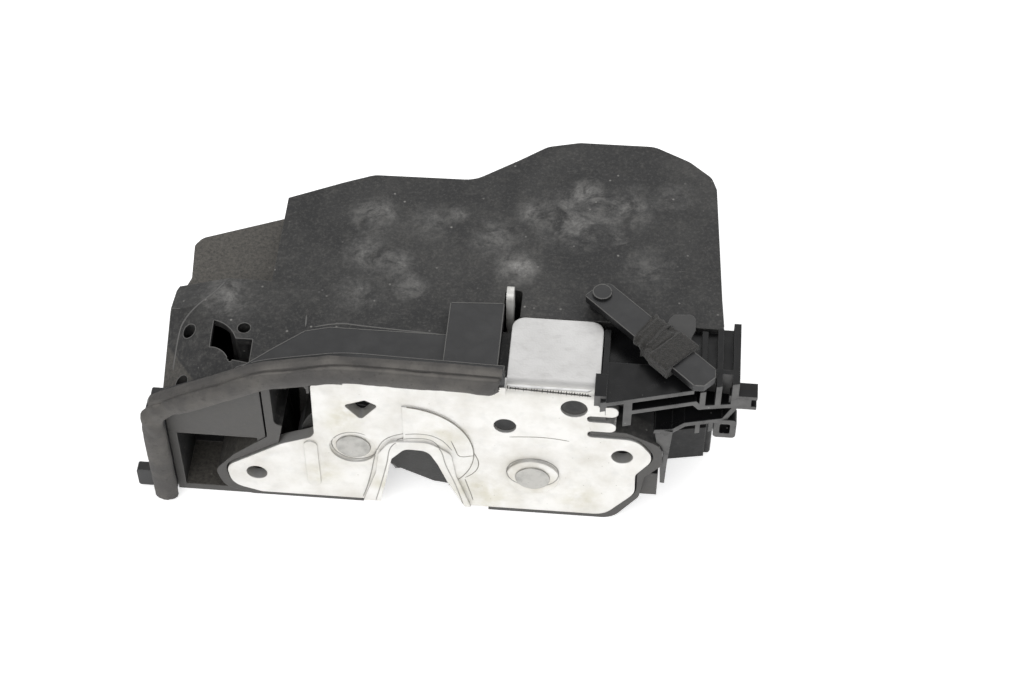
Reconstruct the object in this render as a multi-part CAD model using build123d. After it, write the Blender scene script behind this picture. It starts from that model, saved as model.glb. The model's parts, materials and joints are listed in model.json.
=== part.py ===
from build123d import *
import math
import os

# Vehicle door latch with its lock actuator, in millimetres.
# X runs to the right along the face plate, Y into the door behind the plate, Z up.
# The origin is the middle of the two bolt holes on the outer face of the plate.

# Driving sizes
plate_width = 100.0
case_depth = 80.0
plate_thickness = 3.0
back_plate_thickness = 2.5
chamber_depth = 11.2
wall = 2.0
running_gap = 0.05
seat_gap = 0.3
play = 0.5
overrun = 60.0

# Door bolts
bolt_circle = 87.7
bolt_tilt_degrees = 10.5
bolt_hole_radius = 2.5
bolt_clearance_radius = 3.5
bolt_end_room = 6.0

# Levels of the casing, as shares of the plate's width
floor_share = -0.175
split_share = 0.05
low_deck_share = 0.23
plate_top_share = 0.31
deck_share = 0.30

# Places of the pivots, as shares of the plate's width
claw_pivot_share = (-0.194, 0.044)
pawl_pivot_share = (0.226, -0.015)

# Catch, in shares of the distance between the two pivots
claw_reach_share = 0.7073
claw_notch_share = 0.6012
claw_step_share = 0.6743
claw_hub_share = 0.2594
claw_edge_offset_share = 0.1533
hook_reach_share = 0.4669
striker_seat_reach_share = 0.3584
jacket_lobe_share = 0.2924
claw_thickness = 5.2
claw_corner = 1.3
claw_swing_degrees = 60.0
claw_tip_degrees = 18.5
claw_face_degrees = 31.0
striker_radius = 4.5
striker_play = 0.5
striker_seat_degrees = -15.0
prelatch_degrees = 25.0
jacket_layer = 1.1
jacket_inset = 1.4

# Pawl, in shares of the distance between the two pivots
pawl_reach_share = 0.5187
pawl_hub_share = 0.1792
pawl_nose_reach_share = 0.2169
pawl_nose_drop_share = 0.1344
pawl_latch_gap = 0.12
pawl_tip_degrees = 128.7
pawl_tip_width_degrees = 7.5

# Pivots and springs
pivot_shaft_radius = 4.0
pivot_head_radius = 4.6
pivot_tail_radius = 3.4
rivet_proud = 0.3
rivet_tail_height = 1.2
spring_radius = 5.2
spring_wire_radius = 0.6
spring_leg = 8.5
spring_turn_gap = 1.14
CLAW_SPRING_DEGREES = (60, 200)
PAWL_SPRING_DEGREES = (60, -60)

# Face plate details
mouth_rim_height = 0.8
emboss_height = 0.35
stiffener_width = 3.2
relief_radius = 16.3
heart_corner = 0.8
collar_height = 0.8
collar_radius = 6.2
claw_ring_radius = 5.5
claw_ring_depth = 0.6
tab_depth = 20.7
tab_corner_radius = 3.0
tab_edge_radius = 0.3
fold_radius = 3.2
stake_small_radius = 2.6
stake_large_radius = 3.05
stake_sink = 0.7
stop_post_radius = 1.9
plate_seat_gap = 0.4
carrier_lip = 0.4
carrier_wall = 1.7

# Seal
seal_width = 6.6
seal_thickness = 4.6
seal_centre_depth = -2.0
channel_depth = 2.0
channel_width = 4.0
block_height = 2.0

# Drive; the motor and the gears follow the room behind the carrier
motor_radius_share = 0.1623
motor_flat_share = 0.1234
motor_length_share = 0.4058
motor_place_share = 0.391234
gear_module_share = 0.011364
wheel_x_share = 0.27
wheel_gap = 1.5
motor_z = -2.0
shaft_radius = 1.0
worm_pitch_radius = 3.0
worm_root_share = 1.143
worm_turns = 5.5
wheel_teeth = 34
wheel_thickness = 6.0
pinion_teeth = 16
pinion_height = 4.0
sector_teeth = 32
TOOTH_WIDTH_SHARES = (0.34, 0.12)
TOOTH_HEIGHT_SHARES = (1.2, 0.85)
WORM_FLANK_SHARES = (0.25, 0.08)
shaft_support_reach = 3.0
axle_radius = 2.0
hub_radius = 3.6
lever_thickness = 2.4
lock_arm_length = 14.0
lock_arm_degrees = -75.0
terminal_rise = 2.4

# Connector and switches
socket_x_share = 0.46
socket_end_share = 0.623
socket_y_share = 0.2532
socket_width = 16.0
socket_height = 13.5
pin_columns = 4
pin_rows = 2
pin_spacing = 2.6
pin_row_spacing = 4.0
pin_width = 1.2
pin_thickness = 0.8
pin_length = 9.0
switch_length = 12.8
switch_depth = 5.8
switch_height = 6.5
switch_button = 1.6
switch_corner = 0.4
SWITCH_SHARES = [(-0.36, 0.143), (0.20, 0.117)]
TERMINAL_SHARES = [
    (-0.22, 0.2468), (0.55, 0.2468), (0.55, 0.7792), (0.30, 0.8442), (0.10, 0.6623), (-0.22, 0.6234),
]
TERMINAL_LEG_SHARES = [(-0.19, 0.2987), (-0.19, 0.5714), (0.33, 0.2987), (0.52, 0.7273)]

# Levers on top
pin_radius = 1.6
pin_shoulder_radius = 2.9
pin_flange_radius = 2.2
pin_flange = 0.6
lever_sheet = 1.7
strap_rise = 1.2
strap_thickness = 2.0
strap_width = 6.8
strap_corner = 1.6
felt_length = 9.0
felt_width = 11.0
felt_thickness = 1.0
release_x_share = 0.145
release_hub_radius = 4.4
release_pin_setback = 5.1
release_pin_z = -2.0
release_lug_width = 3.8
release_lug_height = 5.0
release_foot_height = 4.0
alcove_play = 1.6

# Screws
screw_radius = 1.5
screw_boss_radius = 3.3
screw_sink = 4.8

# Bracket
bracket_rib = 1.3
bracket_web = 8.0
bracket_side_thickness = 1.3
bracket_floor_drop = 2.5
bracket_lean_share = 0.266
clip_reach = 1.4
clip_thickness = 1.1
clip_length = 5.0
peg_size = 4.6
peg_hollow = 2.4
blade_thickness = 1.3

floor_z = floor_share * plate_width
split_z = split_share * plate_width
low_deck_z = low_deck_share * plate_width
deck_z = deck_share * plate_width
plate_top_z = plate_top_share * plate_width
claw_centre = tuple(share * plate_width for share in claw_pivot_share)
pawl_centre = tuple(share * plate_width for share in pawl_pivot_share)
pivot_distance = math.dist(claw_centre, pawl_centre)
claw_reach = claw_reach_share * pivot_distance
claw_notch_radius = claw_notch_share * pivot_distance
claw_step_radius = claw_step_share * pivot_distance
claw_hub_radius = claw_hub_share * pivot_distance
claw_edge_offset = claw_edge_offset_share * pivot_distance
hook_reach = hook_reach_share * pivot_distance
striker_seat_reach = striker_seat_reach_share * pivot_distance
jacket_lobe_radius = jacket_lobe_share * pivot_distance
pawl_reach = pawl_reach_share * pivot_distance
pawl_hub_radius = pawl_hub_share * pivot_distance
pawl_nose_reach = pawl_nose_reach_share * pivot_distance
pawl_nose_drop = pawl_nose_drop_share * pivot_distance
chamber_front = plate_thickness
chamber_back = chamber_front + chamber_depth
back_plate_back = chamber_back + back_plate_thickness
claw_front = chamber_front + play + jacket_layer
claw_back = claw_front + claw_thickness
carrier_back = back_plate_back + carrier_wall
room_depth = case_depth - carrier_back

release_x = release_x_share * plate_width
release_pin_y = carrier_back + release_pin_setback
alcove_back = release_pin_y + release_hub_radius + alcove_play
strap_z = plate_top_z + strap_rise

gear_module = gear_module_share * room_depth
motor_radius = motor_radius_share * room_depth
motor_flat = motor_flat_share * room_depth
motor_length = motor_length_share * room_depth
motor_y = carrier_back + motor_place_share * room_depth
wheel_x = wheel_x_share * plate_width
wheel_tip_radius = gear_module * (wheel_teeth / 2 + TOOTH_HEIGHT_SHARES[1])
motor_x_high = wheel_x - wheel_tip_radius - wheel_gap
motor_x_low = motor_x_high - motor_length
worm_pitch = math.pi * gear_module
worm_start = wheel_x - worm_turns * worm_pitch / 2
worm_end = wheel_x + worm_turns * worm_pitch / 2
worm_radius = worm_pitch_radius + gear_module
worm_root_radius = worm_pitch_radius - worm_root_share * gear_module
wheel_place = (wheel_x, motor_y + worm_pitch_radius + gear_module * wheel_teeth / 2)
lever_place = (wheel_x + gear_module * (pinion_teeth + sector_teeth) / 2, wheel_place[1])
wheel_low = motor_z - wheel_thickness / 2
pinion_low = wheel_low + wheel_thickness
lever_low = pinion_low + play
terminal_z = motor_z + motor_flat + terminal_rise
socket_x_low = socket_x_share * plate_width
socket_x_high = socket_end_share * plate_width
socket_y_low = carrier_back + socket_y_share * room_depth
socket_top_z = floor_z + wall + socket_height


def front(shares):
    """Points of a front-view outline, given as shares of the plate's width."""
    return [(x * plate_width, z * plate_width) for x, z in shares]


def plan(shares):
    """Points of a top-view outline behind the carrier: shares of the plate's width and of the room."""
    return [(x * plate_width, carrier_back + y * room_depth) for x, y in shares]


def front_plan(shares):
    """Points of a top-view outline beside the carrier: shares of the plate's width and its depth."""
    return [(x * plate_width, y * carrier_back) for x, y in shares]


def scaled(shares):
    """Corner radii that follow the plate's width."""
    return [share * plate_width for share in shares]


def rounded(points, radius=0):
    """A closed outline with its corners rounded by one radius or one for each corner."""
    if radius == 0:
        return make_face(Polyline(*points, close=True))
    return make_face(FilletPolyline(*points, radius=radius, close=True))


def slab_y(shape, y_low, y_high):
    """Extrude a front-view shape (x, z) from one depth to another."""
    plane = Plane(origin=(0, y_high, 0), x_dir=(1, 0, 0), z_dir=(0, -1, 0))
    return extrude(plane * shape, amount=y_high - y_low, dir=(0, -1, 0))


def slab_z(shape, z_low, z_high):
    """Extrude a top-view shape from one level to another."""
    return extrude(Pos(0, 0, z_low) * shape, amount=z_high - z_low, dir=(0, 0, 1))


def slab_x(shape, x_low, x_high):
    """Extrude a side-view shape (y, z) from one x to another."""
    plane = Plane(origin=(x_low, 0, 0), x_dir=(0, 1, 0), z_dir=(1, 0, 0))
    return extrude(plane * shape, amount=x_high - x_low, dir=(1, 0, 0))


def block(x_low, x_high, y_low, y_high, z_low, z_high):
    """A box between two corners."""
    corner = (Align.MIN, Align.MIN, Align.MIN)
    return Pos(x_low, y_low, z_low) * Box(x_high - x_low, y_high - y_low, z_high - z_low, align=corner)


def rod_y(x, z, radius, y_low, y_high):
    """A round bar along Y."""
    return slab_y(Pos(x, z) * Circle(radius), y_low, y_high)


def rod_z(x, y, radius, z_low, z_high):
    """A round bar along Z."""
    return slab_z(Pos(x, y) * Circle(radius), z_low, z_high)


def rod_x(y, z, radius, x_low, x_high):
    """A round bar along X."""
    return slab_x(Pos(y, z) * Circle(radius), x_low, x_high)


def polar(centre, radius, degrees):
    """A point at a radius and angle from a centre."""
    angle = math.radians(degrees)
    return (centre[0] + radius * math.cos(angle), centre[1] + radius * math.sin(angle))


def half_space(origin, normal):
    """Everything on the side of a plane that its normal points to, as far as the overrun reaches."""
    corner = (Align.CENTER, Align.CENTER, Align.MIN)
    return Plane(origin=origin, z_dir=normal) * Box(4 * overrun, 4 * overrun, 2 * overrun, align=corner)


def group_of(pieces):
    """Like pieces kept as separate solids of one node."""
    return Compound(children=[solid for piece in pieces for solid in piece.solids()])


# Face plate

PLATE_SHARES = [
    (-0.279, 0.282), (-0.205, 0.282), (-0.205, 0.31), (0.366, 0.31), (0.366, 0.263), (0.417, 0.263),
    (0.417, 0.227), (0.347, 0.227), (0.347, 0.205), (0.413, 0.205), (0.413, 0.171), (0.349, 0.171),
    (0.349, 0.148), (0.462, 0.146), (0.507, 0.080), (0.464, 0.012), (0.466, -0.062),
    (0.397, -0.156), (-0.425, -0.158), (-0.494, -0.134), (-0.503, -0.062), (-0.362, 0.042),
    (-0.283, 0.078),
]
PLATE_CORNER_SHARES = [
    0.02, 0, 0, 0, 0.004, 0.016, 0.016, 0.010, 0.010, 0.016, 0.015, 0.011,
    0.011, 0.052, 0.046, 0.03, 0.06, 0.05, 0.03, 0.045, 0.04, 0.08, 0.03,
]
MOUTH_SHARES = [
    (-0.155, -0.25), (-0.104, 0.022), (-0.072, 0.064), (-0.018, 0.062), (0.004, 0.012),
    (0.028, -0.064), (0.104, -0.25),
]
MOUTH_CORNER_SHARES = [0, 0.012, 0.025, 0.03, 0.05, 0.08, 0]
RIM_SHARES = [
    (-0.178, -0.153), (-0.144, -0.038), (-0.134, 0.04), (-0.105, 0.088), (-0.015, 0.094),
    (0.036, 0.055), (0.046, -0.03), (0.079, -0.153),
]
RIM_CORNER_SHARES = [0, 0.06, 0.03, 0.035, 0.045, 0.03, 0.08, 0]
HEART_SHARES = [(-0.208, 0.207), (-0.185, 0.217), (-0.158, 0.230), (-0.128, 0.212), (-0.170, 0.156)]
TAB_SIDE_SHARES = (0.163, 0.372)
STIFFENER_SHARES = (-0.294, -0.113, 0.062)
STAKE_SHARES = [(0.161, 0.169), (0.317, 0.250)]
RELIEF_CENTRE_SHARES = (-0.074, 0.056)


def plate_outline():
    """Front outline of the pressed plate."""
    return rounded(front(PLATE_SHARES), scaled(PLATE_CORNER_SHARES))


def mouth_outline():
    """Opening that takes the striker bar."""
    return rounded(front(MOUTH_SHARES), scaled(MOUTH_CORNER_SHARES))


def bolt_places():
    """Centres of the two door bolts."""
    return [polar((0, 0), bolt_circle / 2, bolt_tilt_degrees + turn) for turn in (0, 180)]


def folded_tab():
    """Top tab, bent back from the plate with a rounded fold."""
    inner = plate_top_z - plate_thickness
    profile = rounded(
        [(0, inner - fold_radius), (0, plate_top_z), (tab_depth, plate_top_z), (tab_depth, inner),
         (plate_thickness, inner), (plate_thickness, inner - fold_radius)],
        [0, fold_radius, 0, 0, tab_edge_radius, 0],
    )
    left, right = scaled(TAB_SIDE_SHARES)
    tab = slab_x(profile, left, right)
    corners = tab.edges().filter_by(Axis.Z).group_by(Axis.Y)[-1]
    return fillet(corners, tab_corner_radius)


def emboss():
    """Raised stiffener, mouth relief and pawl collar on the plate's face."""
    rim = slab_y(rounded(front(RIM_SHARES), scaled(RIM_CORNER_SHARES)), -mouth_rim_height, 0)
    relief_x, relief_z = scaled(RELIEF_CENTRE_SHARES)
    relief = rod_y(relief_x, relief_z, relief_radius, -emboss_height, 0)
    relief = relief & slab_y(plate_outline(), -emboss_height, 0)
    relief = relief & block(relief_x, overrun, -emboss_height, 0, relief_z - relief_radius, overrun)
    stiff_x, stiff_low, stiff_high = scaled(STIFFENER_SHARES)
    slot = Rot(0, 0, 90) * SlotOverall(stiff_high - stiff_low, stiffener_width)
    stiffener = slab_y(Pos(stiff_x, (stiff_low + stiff_high) / 2) * slot, -emboss_height, 0)
    return rim + relief + stiffener + rod_y(*pawl_centre, collar_radius, -collar_height, 0)


def face_plate():
    """Pressed steel plate with mouth rim, embossings, pivot seats, ears and folded tab."""
    left, right = scaled(TAB_SIDE_SHARES)
    fold_low = plate_top_z - plate_thickness - fold_radius
    body = slab_y(plate_outline(), 0, plate_thickness)
    body = body - block(left, right, -overrun, plate_thickness, fold_low, overrun)
    body = body + folded_tab() + emboss() - slab_y(mouth_outline(), -overrun, overrun)
    body = body - rod_y(*claw_centre, claw_ring_radius, -overrun, claw_ring_depth)
    for x, z in (claw_centre, pawl_centre):
        body = body - rod_y(x, z, pivot_shaft_radius, -overrun, overrun)
    for x, z in bolt_places():
        body = body - rod_y(x, z, bolt_hole_radius, -overrun, overrun)
    for (x, z), radius in zip(front(STAKE_SHARES), (stake_small_radius, stake_large_radius)):
        body = body - rod_y(x, z, radius, -overrun, overrun)
    return body - slab_y(rounded(front(HEART_SHARES), heart_corner), -overrun, overrun)


# Catch, pawl and their pivots

# Each row is a reach as a share of the catch's, and an angle
CLAW_BACK_SHARES = [(0.8, 60), (0.68, 75), (0.56, 100)]
# Each row is a reach as a share of the hub's, and an angle
CLAW_HUB_SHARES = [(1.08, 140), (1.08, 180), (1.12, 215)]
# Each row is a reach as a share of the hook's, and an angle
CLAW_HOOK_SHARES = [(0.72, 250), (0.92, 278), (1, 295), (1, 310), (1, 323)]
# Corner radii of the catch in turn, as shares of one named corner
CLAW_CORNER_SHARES = [0, 1, 0, 1, 0.7, 0, 0, 0.6, 1, 3, 4, 5, 4, 4, 4, 4, 4, 3, 0, 1.4, 1, 0]
# Angles along the rim, measured on from the catch's tip and from its step
TIP_TURNS = (0, 5, 9, 12)
STEP_TURNS = (-6, -0.7, 2, 6)
HOOK_INSET_SHARE = 0.55


def striker_seat():
    """Middle of the striker bar in the closed catch."""
    return polar(claw_centre, striker_seat_reach, striker_seat_degrees)


def claw_outline():
    """Outline of the catch in its closed place, before the striker seat is cut."""
    face = math.radians(claw_face_degrees)
    seat = striker_seat()
    seat_radius = striker_radius + striker_play
    edge = polar(claw_centre, striker_seat_reach, claw_face_degrees)
    edge = (edge[0] + claw_edge_offset * math.sin(face), edge[1] - claw_edge_offset * math.cos(face))
    step = claw_tip_degrees + prelatch_degrees
    rim = [claw_reach, claw_reach, claw_reach, claw_notch_radius]
    points = [edge]
    points += [polar(claw_centre, reach, claw_tip_degrees + turn) for reach, turn in zip(rim, TIP_TURNS)]
    rim = [claw_notch_radius, claw_notch_radius, claw_step_radius, claw_step_radius]
    points += [polar(claw_centre, reach, step + turn) for reach, turn in zip(rim, STEP_TURNS)]
    points += [polar(claw_centre, claw_reach * share, turn) for share, turn in CLAW_BACK_SHARES]
    points += [polar(claw_centre, claw_hub_radius * share, turn) for share, turn in CLAW_HUB_SHARES]
    points += [polar(claw_centre, hook_reach * share, turn) for share, turn in CLAW_HOOK_SHARES]
    points += [(seat[0] + seat_radius * HOOK_INSET_SHARE, seat[1] - seat_radius), seat]
    return rounded(points, [share * claw_corner for share in CLAW_CORNER_SHARES])


def claw_closed_face():
    """Closed catch seen from the front, with its striker seat and latching face."""
    seat = Pos(*striker_seat()) * Circle(striker_radius + striker_play)
    sweep_of_pawl = Pos(*pawl_centre) * Circle(pawl_reach + pawl_latch_gap)
    return claw_outline() - seat - sweep_of_pawl


def turned(shape, centre, degrees):
    """Turn a front-view shape about a pivot; positive is counter-clockwise from the front."""
    return Pos(*centre) * Rot(0, 0, degrees) * Pos(-centre[0], -centre[1]) * shape


def claw_bore():
    """Bore of the catch, in running fit on its pivot."""
    return Pos(*claw_centre) * Circle(pivot_shaft_radius + running_gap)


def claw():
    """Steel catch in its open place."""
    shape = turned(claw_closed_face(), claw_centre, -claw_swing_degrees) - claw_bore()
    return slab_y(shape, claw_front, claw_back)


def claw_jacket():
    """Plastic overmould: a layer on each face and a lobe round the hub's back."""
    closed = offset(claw_closed_face(), -jacket_inset, kind=Kind.INTERSECTION)
    lobe = Pos(*claw_centre) * Circle(jacket_lobe_radius)
    lobe = lobe - Pos(*striker_seat()) * Circle(striker_radius + striker_play)
    shape = turned(closed + lobe, claw_centre, -claw_swing_degrees) - claw_bore()
    return slab_y(shape, claw_front - jacket_layer, claw_back + jacket_layer) - claw()


# Shares of the pawl's reach and angles round its tail
PAWL_TAIL_SHARES = [(0.56, 12), (0.6, -4), (0.56, -18)]
PAWL_BLANK_SHARE = 1.2
PAWL_NECK_SHARE = 0.6
PAWL_TAIL_TURNS = (75, -80)
pawl_tail_corner = 1.5


def pawl_face():
    """Pawl seen from the front, resting on the catch's rim."""
    centre = pawl_centre
    inner = pawl_tip_degrees
    outer = pawl_tip_degrees - pawl_tip_width_degrees
    arm = rounded([
        polar(centre, pawl_hub_radius, inner + 90),
        polar(centre, pawl_reach, inner),
        polar(centre, pawl_reach * PAWL_BLANK_SHARE, inner),
        polar(centre, pawl_reach * PAWL_BLANK_SHARE, outer),
        polar(centre, pawl_reach * PAWL_NECK_SHARE, outer - 1),
        polar(centre, pawl_hub_radius, outer - 90),
    ])
    tail = [polar(centre, pawl_reach * share, turn) for share, turn in PAWL_TAIL_SHARES]
    first, last = (polar(centre, pawl_hub_radius, turn) for turn in PAWL_TAIL_TURNS)
    low = centre[1] - pawl_nose_drop
    nose = rounded([
        (centre[0] - pawl_nose_reach, low), (centre[0] - pawl_nose_reach / 2, low),
        centre, (centre[0] - pawl_nose_reach, centre[1] - pawl_nose_drop / 3),
    ])
    shape = arm & (Pos(*centre) * Circle(pawl_reach))
    shape = shape + Pos(*centre) * Circle(pawl_hub_radius) + nose
    shape = shape + rounded([first, *tail, last], pawl_tail_corner)
    return shape - Pos(*centre) * Circle(pivot_shaft_radius + running_gap)


def pawl():
    """Steel pawl."""
    return slab_y(pawl_face(), claw_front, claw_back)


def stepped_pivot(place, head_front):
    """Stepped rivet: head in the plate, shaft through the chamber, tail in the back plate."""
    shaft = rod_y(*place, pivot_shaft_radius, head_front, chamber_back)
    tail = rod_y(*place, pivot_tail_radius, chamber_back, back_plate_back)
    return shaft + tail + rod_y(*place, pivot_head_radius, back_plate_back, back_plate_back + rivet_tail_height)


BACK_SHARES = [
    (-0.335, 0.20), (-0.22, 0.262), (0.25, 0.262), (0.335, 0.17), (0.35, -0.06), (0.27, -0.142),
    (-0.30, -0.142), (-0.345, -0.06),
]
BACK_MOUTH_SHARES = [
    (-0.175, -0.25), (-0.128, 0.02), (-0.105, 0.085), (0.015, 0.085), (0.035, -0.06), (0.115, -0.25),
]
BACK_CORNER_SHARE = 0.03
BACK_MOUTH_CORNER_SHARE = 0.025
LEVER_WINDOW_SHARES = [(0.138, -0.125), (0.169, -0.002)]
BUFFER_LOW_SHARE = -0.03


def back_mouth():
    """Opening of the back plate behind the striker's slot."""
    return rounded(front(BACK_MOUTH_SHARES), BACK_MOUTH_CORNER_SHARE * plate_width)


def lever_window():
    """Front-view window that the release lever passes through."""
    low, high = front(LEVER_WINDOW_SHARES)
    return rounded([low, (high[0], low[1]), high, (low[0], high[1])])


def back_plate():
    """Steel plate behind the catch, with mouth, pivot holes and lever window."""
    shape = rounded(front(BACK_SHARES), BACK_CORNER_SHARE * plate_width) - back_mouth()
    for x, z in (claw_centre, pawl_centre):
        shape = shape - Pos(x, z) * Circle(pivot_tail_radius)
    post = front(STAKE_SHARES)[0]
    shape = shape - lever_window() - Pos(*post) * Circle(stop_post_radius + running_gap)
    return slab_y(shape, chamber_back, back_plate_back)


def striker_buffer():
    """Rubber arch behind the mouth that stops the striker."""
    arch = offset(back_mouth(), -running_gap) - mouth_outline()
    low = BUFFER_LOW_SHARE * plate_width
    arch = arch & rounded([(-overrun, low), (overrun, low), (overrun, overrun), (-overrun, overrun)])
    return slab_y(arch, chamber_back, back_plate_back)


def torsion_spring(centre, leg_angles):
    """Close-wound torsion spring of two turns, with two straight legs."""
    y_low = claw_back + jacket_layer + seat_gap
    coil = None
    for turn, angle in enumerate(leg_angles):
        depth = y_low + spring_wire_radius + turn * spring_turn_gap
        frame = Plane(origin=(centre[0], depth, centre[1]), z_dir=(0, 1, 0))
        ring = frame * Torus(spring_radius, spring_wire_radius)
        start = polar(centre, spring_radius, angle)
        along = (-math.sin(math.radians(angle)), 0, math.cos(math.radians(angle)))
        frame = Plane(origin=(start[0], depth, start[1]), z_dir=along)
        wire = Cylinder(spring_wire_radius, spring_leg, align=(Align.CENTER, Align.CENTER, Align.MIN))
        piece = ring + frame * wire
        coil = piece if coil is None else coil + piece
    return coil


# Carrier behind the plate

CARRIER_SHARES = [
    (-0.45, -0.174), (-0.515, -0.152), (-0.532, -0.085), (-0.48, -0.018), (-0.395, 0.060),
    (-0.395, 0.28), (0.386, 0.28), (0.392, 0.168), (0.44, 0.166), (0.522, 0.12), (0.524, 0.05),
    (0.485, 0.0), (0.476, -0.08), (0.416, -0.174),
]
CARRIER_CORNER_SHARES = [
    0.02, 0.045, 0.04, 0.04, 0.01, 0, 0, 0.01, 0.02, 0.045, 0.03, 0.02, 0.04, 0.05,
]
CHAMBER_SHARES = [
    (-0.36, -0.158), (-0.372, 0.03), (-0.335, 0.215), (-0.225, 0.265), (0.262, 0.265),
    (0.345, 0.19), (0.37, 0.1), (0.37, -0.08), (0.30, -0.145), (0.12, -0.145), (0.12, -0.25),
    (-0.18, -0.25), (-0.18, -0.158),
]
CHAMBER_CORNER_SHARE = 0.02
POCKET_SHARES = [(-0.375, 0.09), (-0.375, 0.265), (-0.29, 0.265), (-0.29, 0.14)]
POCKET_RIB_SHARES = (-0.375, 0.07, 0.28)
EAR_BLOCK_SHARES = (0.47, 0.517, -0.088, -0.004)
ear_block_front = 2.0
ear_block_back = 5.0


def carrier_outline():
    """Front outline of the carrier; it follows the plate's edge."""
    return rounded(front(CARRIER_SHARES), scaled(CARRIER_CORNER_SHARES))


def latch_carrier():
    """Moulded frame: the plate sits in its front recess, the catch works in its chamber."""
    left, _ = scaled(TAB_SIDE_SHARES)
    fold_low = plate_top_z - plate_thickness - fold_radius
    seat = slab_y(offset(plate_outline(), plate_seat_gap), -wall, plate_thickness)
    x_low, x_high, z_low, z_high = scaled(EAR_BLOCK_SHARES)
    ear_block = block(x_low, x_high, ear_block_front, ear_block_back, z_low, z_high)
    body = slab_y(carrier_outline(), carrier_lip, carrier_back) - seat + (ear_block - seat)
    body = body - block(left, overrun, -overrun, plate_thickness + play, fold_low, overrun)
    rib_x, rib_low, rib_high = scaled(POCKET_RIB_SHARES)
    body = body + block(rib_x - wall, rib_x, carrier_lip, plate_thickness, rib_low, rib_high)
    chamber = rounded(front(CHAMBER_SHARES), CHAMBER_CORNER_SHARE * plate_width)
    body = body - slab_y(chamber, -overrun, back_plate_back)
    body = body - slab_y(back_mouth(), back_plate_back - play, overrun)
    pocket = rounded(front(POCKET_SHARES), CHAMBER_CORNER_SHARE * plate_width)
    body = body - slab_y(pocket, -overrun, carrier_back - wall)
    for x, z in (claw_centre, pawl_centre):
        body = body - rod_y(x, z, pivot_head_radius + plate_seat_gap, back_plate_back, overrun)
    body = body - slab_y(lever_window(), back_plate_back - play, overrun)
    for x, z in bolt_places():
        body = body - rod_y(x, z, bolt_clearance_radius, -overrun, overrun)
    small, large = front(STAKE_SHARES)
    body = body + rod_y(*small, stake_small_radius, stake_sink, plate_thickness)
    body = body + rod_y(*small, stop_post_radius, stake_sink, carrier_back)
    return body + rod_y(*large, stake_large_radius, stake_sink, plate_thickness + play)


# Casing shells

case_lip = 0.6
alcove_left_gap = 0.7
alcove_width = 4.0
CASE_LEFT_SHARES = (-0.63, -0.40)
CASE_FRONT_SHARES = [(0.645, 0.0535)]
CASE_BACK_SHARES = [
    (0.638, 0.1961), (0.617, 0.7565), (0.604, 0.8182), (0.549, 0.8974), (0.462, 0.9688),
    (0.279, 0.9662), (0.202, 0.9338), (0.137, 0.8519), (0.034, 0.7312), (-0.208, 0.7247),
    (-0.277, 0.6766), (-0.406, 0.5753), (-0.606, 0.4403), (-0.621, 0.4013), (-0.61, 0.2338),
    (-0.63, 0.1234),
]
CASE_FRONT_CORNER_SHARES = [0, 0, 0, 0, 0.01, 0.01, 0, 0.01]
CASE_BACK_CORNER_SHARES = [
    0.01, 0.03, 0.04, 0.06, 0.06, 0.06, 0.05, 0.08, 0.08, 0.05, 0.04, 0.01, 0.03, 0.02, 0.02, 0.02,
]
LOW_DECK_SHARES = [(-0.75, 0.1494), (-0.405, 0.1494), (-0.405, 1), (-0.75, 1)]
APRON_SHARES = [(-0.40, -0.0831), (0.138, -0.0831), (0.138, 0.04), (-0.40, 0.04)]
SCREW_SHARES = [(-0.576, 0.71), (-0.447, 0.71), (-0.583, 0.15)]
CREASE_SHARES = [(-0.44, 0.0), (-0.635, 1.304)]
slope_degrees = 43.0
slope_radius = 14.0
RIDGE_SHARES = [(-0.598, 0.70), (-0.515, 1.413)]
FACET_CORNER_SHARES = [(-0.405, 1.5)]
facet_degrees = 22.0
WINDOW_ARC_SHARES = (-0.538, 0.380)
WINDOW_DISC_SHARES = (-0.530, 0.098)
WINDOW_CUT_SHARES = [(-0.52, 0.21), (-0.52, 0.88), (-0.43, 0.88), (-0.43, 0.21)]
WINDOW_SLOT_SHARES = [(-0.465, 0.54), (-0.422, 0.54), (-0.42, 0.17), (-0.475, 0.25)]
window_arc_radius = 8.2
window_disc_radius = 6.5
POCKET_BOX_SHARE = 0.739
FOOT_SHARES = [(0.53, 1.02), (0.628, 1.12), (0.628, 1.3), (0.53, 1.3)]
FOOT_TOP_SHARE = -0.06


def case_outline():
    """Top outline shared by both casing shells."""
    left, notch = scaled(CASE_LEFT_SHARES)
    right, step_y = plan(CASE_FRONT_SHARES)[0]
    alcove_x = release_x - alcove_left_gap
    points = [
        (left, case_lip), (notch, case_lip), (notch, carrier_back), (alcove_x, carrier_back),
        (alcove_x, alcove_back), (alcove_x + alcove_width, alcove_back),
        (alcove_x + alcove_width, step_y), (right, step_y),
    ]
    corners = scaled(CASE_FRONT_CORNER_SHARES + CASE_BACK_CORNER_SHARES)
    return rounded(points + plan(CASE_BACK_SHARES), corners)


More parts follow.
